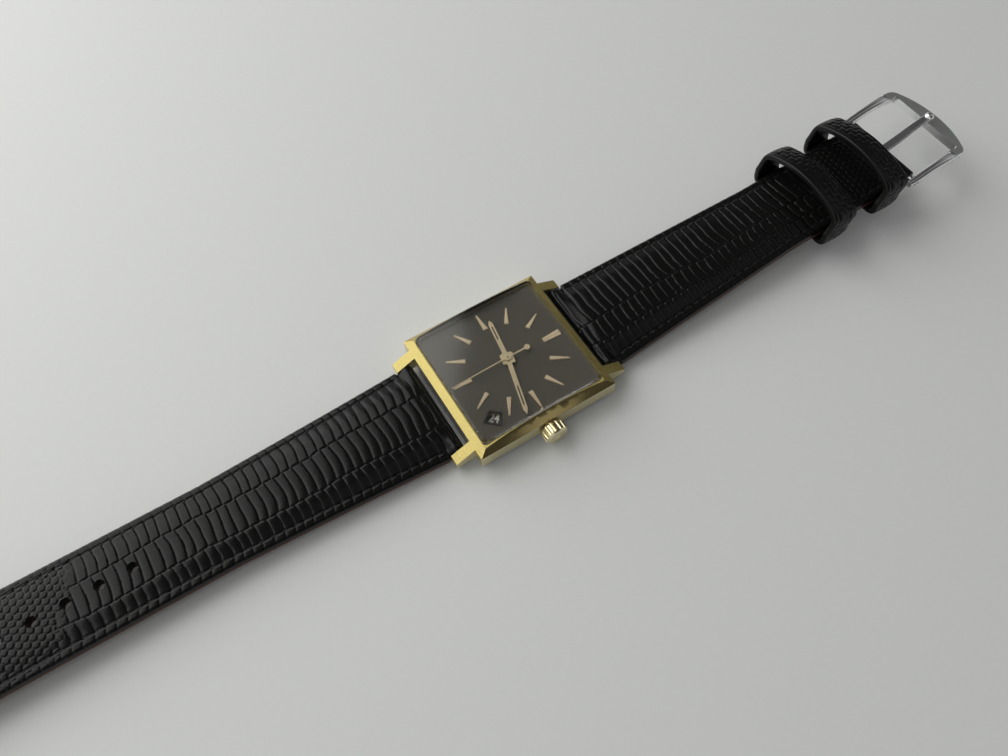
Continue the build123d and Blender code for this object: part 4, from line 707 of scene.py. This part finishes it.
def scale_height(side, x, reach, half):
    """Height share of the large scales: columns between wandering lines, in staggered bowed rows."""
    full = x * SHOULDER_WIDTH / 2 / half
    u = full + LINE_SWAY * wander(reach * 0.055, side, 3.1) + LINE_SHIVER * wander(reach * 0.35, side, 7.7)
    lines = SCALE_LINES[side]
    column = sum(u > line for line in lines)
    along_line = min(abs(u - line) for line in lines)
    edges = (-SCALE_EDGE, *lines, SCALE_EDGE)
    across = (u - edges[column]) / (edges[column + 1] - edges[column]) - 0.5
    bow = ROW_BOW * (1 - 4 * across * across) + ROW_SWAY * wander(x * 0.25, reach * 0.2, 9.7 + column)
    shift = STAGGER_SHARES[column] * ROW_PITCH + bow
    v = (reach + shift + ROW_SHIVER * wander(x * 0.1, reach * 0.5, 2.2 + column)) / ROW_PITCH
    row = math.floor(v)
    inside = min(v - row, row + 1 - v) * ROW_PITCH
    groove = smooth(0.0, SCALE_GROOVE, inside) * smooth(0.0, SCALE_GROOVE, along_line)
    back = blend(SCALE_BACK, 1.0, smooth(0.1, 0.8, inside))
    return groove * back + SCALE_PILLOW * wander(row * 0.37, column * 0.91, 0.5)


def bead_height(x, reach):
    """Height share of the small beads, whose field is pulled a little out of true."""
    pulled_x = x + BEAD_SWAY * wander(x * 0.4, reach * 0.4, 6.0)
    pulled_reach = reach + BEAD_SWAY * wander(x * 0.4, reach * 0.4, 8.0)
    return blend(BEAD_FLOOR, 1.0, smooth(0.0, BEAD_GROOVE, bead_gap(pulled_x, pulled_reach)))


def scale_relief(side, x, reach, half):
    """Height share of the lizard grain, 0 in a groove and 1 on the back of a scale."""
    start = BEAD_START[side] - BEAD_SLANT[side] * x
    first, last = (start + step for step in BEAD_BORDER)
    strayed = reach + BEAD_BORDER_SWAY * wander(x * 0.3, reach * 0.3, 1.0)
    return blend(scale_height(side, x, reach, half), bead_height(x, reach), smooth(first, last, strayed))


def cover_height(side, x, reach, half):
    """The smooth top of the cover: padded in the middle, flat along the border, and round over the bar."""
    middle = NECK_END + (TAPER_END[side] - NECK_END) / 2
    marks = [(NECK_END, 0.0), (middle, 0.45), (TAPER_END[side], 0.8), (STRAP_END[side], 1.0)]
    share = 0.0
    for (start, low), (stop, high) in zip(marks, marks[1:]):
        if reach >= start:
            share = blend(low, high, clamp((reach - start) / (stop - start)))
    crown = blend(*MIDDLE_THICKNESS, share)
    edge = blend(*EDGE_THICKNESS, share)
    dome = max(0.0, 1 - (abs(x) / half) ** 2)
    padding = smooth(*PADDING_RUN, half - abs(x))
    top = COVER_LOW + blend(edge, crown, 0.45 * dome + 0.55 * padding * dome ** 0.35)
    over_bar = math.sqrt(BAR_WRAP ** 2 - min(reach, 0.0) ** 2)
    return blend(over_bar, top, smooth(0.0, BAR_RUN, reach))


def strap_grid(side, rows, columns, start, end):
    """A flat grid laid to the strap's plan, with closer rows towards a pointed end."""
    bm = bmesh.new()
    bmesh.ops.create_grid(bm, x_segments=columns, y_segments=rows, size=0.5)
    for vert in bm.verts:
        u, v = vert.co.x * 2, vert.co.y + 0.5
        if side == 6 and v < POINT_ROWS_SHARE:
            v = v / POINT_ROWS_SHARE * POINT_START_SHARE
        elif side == 6:
            v = blend(POINT_START_SHARE, 1.0, (v - POINT_ROWS_SHARE) / (1 - POINT_ROWS_SHARE))
        reach = blend(start, end, v)
        vert.co.x = u * strap_half(side, reach)
        vert.co.y = reach
    return bm


def turn_down_edge(bm, layer):
    """Draws the cover's open border down in three steps and closes it underneath."""
    rim = [edge for edge in bm.edges if edge.is_boundary]
    for drop in (*EDGE_DROPS, None):
        grown = bmesh.ops.extrude_edge_only(bm, edges=rim)["geom"]
        verts = [item for item in grown if isinstance(item, bmesh.types.BMVert)]
        rim = [item for item in grown if isinstance(item, bmesh.types.BMEdge)]
        for vert in verts:
            vert.co.z = COVER_LOW if drop is None else max(COVER_LOW, vert.co.z - drop * 0.6)
            vert[layer] = 0.6
    bmesh.ops.contextual_create(bm, geom=rim)
    bmesh.ops.remove_doubles(bm, verts=bm.verts, dist=MERGE)


def shape_cover(side):
    """The outer leather: the padded top with its scales and sewing groove, turned down at the edges."""
    rows = COVER_ROWS[side]
    bm = strap_grid(side, rows, COVER_COLUMNS[side], WRAP_START, STRAP_END[side])
    layer = bm.verts.layers.float.new("scale_height")
    for vert in bm.verts:
        x, reach = vert.co.x, vert.co.y
        half = strap_half(side, reach)
        inward = half - abs(x)
        if side == 6:
            inward = min(inward, (TAIL_REACH - reach) * 1.1)
        relief = scale_relief(side, x, reach, half)
        border = 0.35 + 0.50 * relief + 0.12 * wander(x, reach, 5.0)
        relief = blend(border, relief, smooth(STITCH_INSET - 0.3, STITCH_INSET + 0.2, inward))
        seam = math.exp(-((inward - STITCH_INSET) / SEAM_WIDTH) ** 2)
        seam *= smooth(NECK_END, NECK_END + 1.0, reach)
        roll = EDGE_ROLL * (1 - smooth(0.0, EDGE_ROLL_RUN, inward)) ** 2
        top = cover_height(side, x, reach, half)
        vert.co.z = top + RELIEF_DEPTH * (relief - RELIEF_LEVEL) - SEAM_DEPTH * seam - roll
        # The attribute is also the painted-shade mask: low in the grooves and lower still in the sewing
        # groove, which the leather darkens.
        vert[layer] = clamp(relief - 0.6 * seam)
    turn_down_edge(bm, layer)
    return bm


def shape_rod(radius, reach, height):
    """A long rod across the strap, which bores out its folded end."""
    bm = bmesh.new()
    bmesh.ops.create_cone(
        bm, cap_ends=True, segments=ROUND_SEGMENTS, radius1=radius, radius2=radius, depth=ROD_LENGTH,
    )
    bmesh.ops.rotate(bm, matrix=Matrix.Rotation(math.radians(90), 3, "Y"), verts=bm.verts)
    bmesh.ops.translate(bm, vec=(0, reach, height), verts=bm.verts)
    return bm


def shape_punches():
    """The round punches of the tail's holes."""
    bm = bmesh.new()
    for number in range(HOLE_COUNT):
        place = Matrix.Translation((0, HOLE_FIRST + number * HOLE_PITCH, PUNCH_HEIGHT))
        bmesh.ops.create_cone(
            bm, cap_ends=True, segments=ROUND_SEGMENTS, radius1=HOLE_RADIUS, radius2=HOLE_RADIUS,
            depth=PUNCH_LENGTH, matrix=place,
        )
    return bm


def shape_slot():
    """The block that cuts the tongue's opening, with rounded corners."""
    bm = bmesh.new()
    size = Matrix.Diagonal((SLOT_WIDTH, SLOT_LENGTH, PUNCH_LENGTH, 1.0))
    bmesh.ops.create_cube(bm, size=1.0, matrix=Matrix.Translation((0, BUCKLE_REACH, 0)) @ size)
    upright = [edge for edge in bm.edges if abs(edge.verts[0].co.z - edge.verts[1].co.z) > 1.0]
    bmesh.ops.bevel(
        bm, geom=upright, offset=SLOT_CORNER, segments=6, profile=0.5, affect="EDGES", material=-1,
    )
    return bm


def cut_away(piece, bm, side):
    """Cuts a shape out of a strap piece and keeps the result as its mesh."""
    bmesh.ops.transform(bm, matrix=lay_strap(side), verts=bm.verts)
    bmesh.ops.scale(bm, vec=(MM, MM, MM), verts=bm.verts)
    bmesh.ops.recalc_face_normals(bm, faces=bm.faces)
    mesh = bpy.data.meshes.new("cutter")
    bm.to_mesh(mesh)
    bm.free()
    cutter = bpy.data.objects.new("cutter", mesh)
    scene.collection.objects.link(cutter)
    cut = piece.modifiers.new("cut", "BOOLEAN")
    cut.operation = "DIFFERENCE"
    cut.solver = "MANIFOLD"
    cut.object = cutter
    bpy.context.view_layer.update()
    graph = bpy.context.evaluated_depsgraph_get()
    result = bpy.data.meshes.new_from_object(piece.evaluated_get(graph))
    piece.modifiers.clear()
    piece.data = result
    bpy.data.objects.remove(cutter)


def shape_lining(side):
    """The thin inner leather, a little narrower than the cover."""
    end = STRAP_END[side] - LINING_SHORT[side]
    bm = strap_grid(side, LINING_ROWS, LINING_COLUMNS, LINING_START, end)
    for vert in bm.verts:
        vert.co.z = COVER_LOW - LINING_GAP
        vert.co.x *= LINING_SHARE
    shell = bmesh.ops.extrude_face_region(bm, geom=bm.faces[:])["geom"]
    moved = [item for item in shell if isinstance(item, bmesh.types.BMVert)]
    bmesh.ops.translate(bm, vec=(0, 0, LINING_GAP - LINING), verts=moved)
    bmesh.ops.remove_doubles(bm, verts=bm.verts, dist=MERGE)
    return bm


def shape_loop(start, stop, radius, bore, reach, height):
    """The folded end of a strap round its bar, open through the middle."""
    bm = bmesh.new()
    bmesh.ops.create_circle(bm, segments=LOOP_SEGMENTS, radius=radius)
    bmesh.ops.create_circle(bm, segments=LOOP_SEGMENTS, radius=bore)
    bmesh.ops.bridge_loops(bm, edges=bm.edges[:])
    ring = bmesh.ops.extrude_face_region(bm, geom=bm.faces[:])["geom"]
    moved = [item for item in ring if isinstance(item, bmesh.types.BMVert)]
    bmesh.ops.translate(bm, vec=(0, 0, stop - start), verts=moved)
    bmesh.ops.rotate(bm, matrix=Matrix.Rotation(math.radians(90), 3, "Y"), verts=bm.verts)
    bmesh.ops.translate(bm, vec=(start, reach, height), verts=bm.verts)
    axis = Vector((reach, height))
    outer = [
        edge for edge in bm.edges
        if abs(edge.verts[0].co.x - edge.verts[1].co.x) < TOUCH
        and min((vert.co.yz - axis).length for vert in edge.verts) > radius - CLOSE
    ]
    bmesh.ops.bevel(
        bm, geom=outer, offset=LOOP_CORNER, segments=3, profile=0.5, affect="EDGES", material=-1,
    )
    return bm


def shape_thread(side):
    """Short slanted stitches along the border, each sunk at both ends."""
    bm = bmesh.new()
    first = NECK_END + STITCH_START
    count = int((STRAP_END[side] - STITCH_STOP[side] - first) / STITCH_PITCH)
    size = Vector((THREAD_HALF_WIDTH, STITCH_PITCH * STITCH_LENGTH_SHARE, THREAD_HALF_HEIGHT))
    upright = Matrix.Rotation(math.radians(90), 4, "X")
    for hand in (-1, 1):
        for number in range(count):
            reach = first + (number + 0.5) * STITCH_PITCH
            half = strap_half(side, reach)
            x = hand * (half - STITCH_INSET)
            spread = strap_half(side, reach + 0.5) - strap_half(side, reach - 0.5)
            turn = math.atan2(spread, 1.0) * -hand
            place = Vector((x, reach, cover_height(side, x, reach, half) - THREAD_SINK))
            slant = Quaternion((0, 0, 1), turn + math.radians(STITCH_SLANT * hand))
            lie = Matrix.LocRotScale(place, slant, size) @ upright
            bmesh.ops.create_uvsphere(bm, u_segments=8, v_segments=6, radius=1.0, matrix=lie)
    return bm


def dress_strap(side):
    """One strap half: its cover and lining with their cuts, its loop round the bar, and its thread."""
    body = f"strap_{side}_body"
    place = lay_strap(side)
    cover = shape_cover(side)
    cover = add_piece(
        cover, f"scaled_cover_{side}", body, [scaled_leather], place, SOFT_CREASE,
    )
    lining = shape_lining(side)
    lining = add_piece(
        lining, f"lining_{side}", body, [inner_leather], place, FOLD_CREASE,
    )
    cut_away(cover, shape_rod(BAR_BORE, 0.0, 0.0), side)
    for piece in (cover, lining):
        cut_away(piece, shape_punches() if side == 6 else shape_slot(), side)
    half = NECK_WIDTH / 2 - LOOP_END_GAP
    loop = shape_loop(-half, half, BAR_LOOP, BAR_BORE, 0.0, 0.0)
    add_piece(loop, f"bar_loop_{side}", body, [plain_leather], place, FOLD_CREASE)
    thread = shape_thread(side)
    add_piece(thread, f"stitches_{side}", body, [strap_thread], place, SOFT_CREASE)
    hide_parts(f"strap_{side}_cover")
    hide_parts(f"strap_{side}_lining")
    if side == 12:
        cut_away(cover, shape_rod(BUCKLE_BORE, BUCKLE_REACH, BUCKLE_LOOP_HEIGHT), side)


def add_buckle_loops():
    """The two folded ends round the buckle's bar, one on each side of the tongue."""
    half = BUCKLE_WIDTH / 2 - LOOP_END_GAP
    for name, start, stop in (("left", -half, -SLOT_WIDTH / 2), ("right", SLOT_WIDTH / 2, half)):
        loop = shape_loop(start, stop, BUCKLE_LOOP, BUCKLE_BORE, BUCKLE_REACH, BUCKLE_LOOP_HEIGHT)
        name = f"buckle_loop_{name}"
        add_piece(loop, name, "strap_12_body", [plain_leather], lay_strap(12), FOLD_CREASE)


dress_strap(12)
dress_strap(6)
add_buckle_loops()


# Keepers

ARCH_STEPS = 24
LEAN_FROM = 0.9
LEAN_RUN = 7.2
KEEPER_LEAN = 2.2
KEEPER_BOW = 2.0
KEEPER_PUFF = 0.20
KEEPER_RELIEF = 0.17
KEEPER_COLUMN = 1.35
KEEPER_ROW = 2.1
KEEPER_ROW_SHIFT = 1.1
KEEPER_SEAM = 2.05
KEEPER_SEAM_WIDTH = 0.14
DROOP_RUN = (0.9, 6.5)
KEEPER_MERGE = 0.0005
PATH_POINTS = 300
RING_POINTS = 76


def keeper_path(count):
    """Points and outward directions round a keeper's arched opening, with its corners rounded."""
    corners = [(0.0, KEEPER_LOW), (KEEPER_HALF, KEEPER_LOW), (KEEPER_HALF, KEEPER_SHOULDER)]
    for step in range(1, ARCH_STEPS):
        x = KEEPER_HALF * math.cos(math.pi * step / ARCH_STEPS)
        rise = 1 - (x / KEEPER_HALF) ** 2
        corners.append((x, blend(KEEPER_SHOULDER, KEEPER_TOP, rise)))
    corners += [(-KEEPER_HALF, KEEPER_SHOULDER), (-KEEPER_HALF, KEEPER_LOW), (0.0, KEEPER_LOW)]
    corners = [Vector(corner) for corner in corners]
    total = sum((b - a).length for a, b in zip(corners, corners[1:]))
    points = []
    run, leg = 0.0, 0
    for number in range(count):
        want = total * number / count
        while run + (corners[leg + 1] - corners[leg]).length < want:
            run += (corners[leg + 1] - corners[leg]).length
            leg += 1
        edge = corners[leg + 1] - corners[leg]
        points.append(corners[leg] + edge * ((want - run) / edge.length))
    for _ in range(int(count * 0.03) ** 2 // 3):
        points = [(points[i - 1] + points[i] * 2 + points[(i + 1) % count]) / 4 for i in range(count)]
    outward = []
    for i in range(count):
        along = points[(i + 1) % count] - points[i - 1]
        outward.append(Vector((along.y, -along.x)).normalized())
    return points, outward, total


def keeper_lean(height):
    """How far a keeper's leather leans and bows towards the buckle at a height."""
    share = clamp((height - LEAN_FROM) / LEAN_RUN)
    return KEEPER_LEAN * share + KEEPER_BOW * share * (1 - share)


def squared(value):
    """Draws a sine or cosine towards 1, for an edge that is squarer than a half round."""
    return math.copysign(abs(value) ** 0.6, value)


def band_section(way):
    """Place across a keeper's width, and out through its leather, at a way round its section."""
    straight = KEEPER_WIDTH - KEEPER_LEATHER
    radius = KEEPER_LEATHER / 2
    bend = math.pi * radius
    if way < straight:
        return way - straight / 2, KEEPER_LEATHER
    if way < straight + bend:
        turn = (way - straight) / radius
        return straight / 2 + radius * squared(math.sin(turn)), radius + radius * squared(math.cos(turn))
    if way < 2 * straight + bend:
        return straight / 2 - (way - straight - bend), 0.0
    turn = (way - 2 * straight - bend) / radius
    return -straight / 2 - radius * squared(math.sin(turn)), radius - radius * squared(math.cos(turn))


def band_relief(width, along, seed):
    """Height share of a keeper's small scales, in staggered rows between its two sewn lines."""
    column = (width + 0.25 * wander(along * 0.3, seed, 2.0)) / KEEPER_COLUMN + 0.5
    shift = KEEPER_ROW_SHIFT * math.floor(column) + 0.5 * wander(along * 0.25, width * 0.5, 4.4)
    row = (along + shift) / KEEPER_ROW
    across = min(column % 1.0, 1 - column % 1.0) * KEEPER_COLUMN
    between = min(row % 1.0, 1 - row % 1.0) * KEEPER_ROW
    relief = blend(0.45, 1.0, smooth(0.0, 0.26, across)) * smooth(0.0, 0.30, between)
    seam = math.exp(-((abs(width) - KEEPER_SEAM) / KEEPER_SEAM_WIDTH) ** 2)
    return blend(relief, 0.85, smooth(1.9, 2.1, abs(width))) - 0.25 * seam


def shape_keeper(reach):
    """A band of folded leather with thick edges and small scales, which droops towards the buckle."""
    count = PATH_POINTS
    ring = RING_POINTS
    points, outward, total = keeper_path(count)
    bm = bmesh.new()
    bmesh.ops.create_grid(bm, x_segments=count, y_segments=ring, size=0.5)
    layer = bm.verts.layers.float.new("scale_height")
    girth = 2 * (KEEPER_WIDTH - KEEPER_LEATHER) + math.pi * KEEPER_LEATHER
    for vert in bm.verts:
        i = round((vert.co.x + 0.5) * count) % count
        width, out = band_section((vert.co.y + 0.5) * girth)
        outer = smooth(KEEPER_LEATHER / 2, KEEPER_LEATHER, out)
        relief = band_relief(width, total * i / count, reach)
        puff = KEEPER_PUFF * (1 - (width / (KEEPER_WIDTH / 2)) ** 2)
        rise = outer * (KEEPER_RELIEF * (relief - RELIEF_LEVEL) + puff)
        point = points[i] + outward[i] * (out + rise)
        droop = KEEPER_DROOP * (0.5 + width / KEEPER_WIDTH) * smooth(*DROOP_RUN, point.y)
        along_strap = reach - KEEPER_BACK + width + keeper_lean(point.y)
        vert.co = Vector((point.x, along_strap, point.y - droop))
        # The attribute is also the painted-shade mask: the outer face's grooves and seams are darkened,
        # while the inside stays at an even 0.7 with no painted shade.
        vert[layer] = blend(0.7, clamp(relief), outer)
    bmesh.ops.remove_doubles(bm, verts=bm.verts, dist=KEEPER_MERGE)
    return bm


for node, reach in KEEPER_PLACES.items():
    keeper = add_piece(
        shape_keeper(reach), f"leather_{node}", KEEPER_BODIES[node], [scaled_leather],
        lay_strap(12), SOFT_CREASE,
    )
    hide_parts(node)


# Floor, light and camera

TABLE_HALF = 1.5
TABLE_DROP = 0.00001
WINDOW_PLACE = (-0.40, -0.27, 0.36)
WINDOW_SIZE = 0.70
WINDOW_POWER = 3.3
DARK_SIDES = [(-0.46, 0.10, 0.88), (0.70, 0.20, 0.68), (-0.30, 0.93, 0.20)]
WINDOW_COLOR = (1.0, 0.995, 0.975)
ROOM_LEVELS = [(0.0, 0.59), (0.86, 0.59), (0.95, 0.07), (1.0, 0.05)]
CAMERA_PLACE = (66.97, -39.76, 138.22)
CAMERA_TARGET = (1.17, -1.60, 2.0)
CAMERA_ROLL = -2.0
CAMERA_LENS = 30.36
SENSOR_WIDTH = 36.0
CLIP_START = 0.01


def make_stage():
    """The pale table."""
    finish = Finish("pale table", IOR=1.45, Roughness=0.55)
    fine = finish.noise(finish.position(), 0.9, 3.0)
    finish.feed("Base Color", finish.mix(fine, (0.78, 0.795, 0.78), (0.81, 0.825, 0.81)))
    bm = bmesh.new()
    bmesh.ops.create_grid(bm, x_segments=1, y_segments=1, size=TABLE_HALF)
    mesh = bpy.data.meshes.new("table")
    bm.to_mesh(mesh)
    bm.free()
    table = bpy.data.objects.new("table", mesh)
    mesh.materials.append(finish.material)
    scene.collection.objects.link(table)
    table.location.z = -TABLE_DROP


def make_light():
    """A pale room, dark overhead, behind the viewer and at its far end, and one large soft window."""
    world = bpy.data.worlds.new("soft room")
    scene.world = world
    world.use_nodes = True
    room = Nodes(world.node_tree)
    sky = room.tree.nodes["Background"]
    where = room.add("ShaderNodeTexCoord").outputs["Generated"]
    facing = [
        room.add("ShaderNodeVectorMath", {0: where, 1: side}, operation="DOT_PRODUCT").outputs["Value"]
        for side in DARK_SIDES
    ]
    nearest = room.math("MAXIMUM", room.math("MAXIMUM", facing[0], facing[1]), facing[2])
    share = room.spread(nearest, -1.0, 1.0, 0.0, 1.0)
    tones = [(place, (level, level, level)) for place, level in ROOM_LEVELS]
    room.join(room.ramp(share, tones), sky.inputs["Color"])
    sky.inputs["Strength"].default_value = 1.0
    data = bpy.data.lights.new("window light", "AREA")
    data.shape = "SQUARE"
    data.size = WINDOW_SIZE
    data.energy = WINDOW_POWER
    data.color = WINDOW_COLOR
    lamp = bpy.data.objects.new("window light", data)
    lamp.location = WINDOW_PLACE
    lamp.rotation_euler = (-Vector(WINDOW_PLACE)).to_track_quat("-Z", "Y").to_euler()
    scene.collection.objects.link(lamp)


def make_camera():
    """The photo's view: its place, aim and slight roll."""
    data = bpy.data.cameras.new("photo view")
    data.sensor_width = SENSOR_WIDTH
    data.lens = CAMERA_LENS
    data.clip_start = CLIP_START
    camera = bpy.data.objects.new("photo view", data)
    place = Vector(CAMERA_PLACE) * MM
    target = Vector(CAMERA_TARGET) * MM
    camera.location = place
    look = (target - place).to_track_quat("-Z", "Y")
    camera.rotation_mode = "QUATERNION"
    camera.rotation_quaternion = look @ Quaternion((0, 0, 1), math.radians(CAMERA_ROLL))
    scene.collection.objects.link(camera)
    scene.camera = camera


make_stage()
make_light()
make_camera()
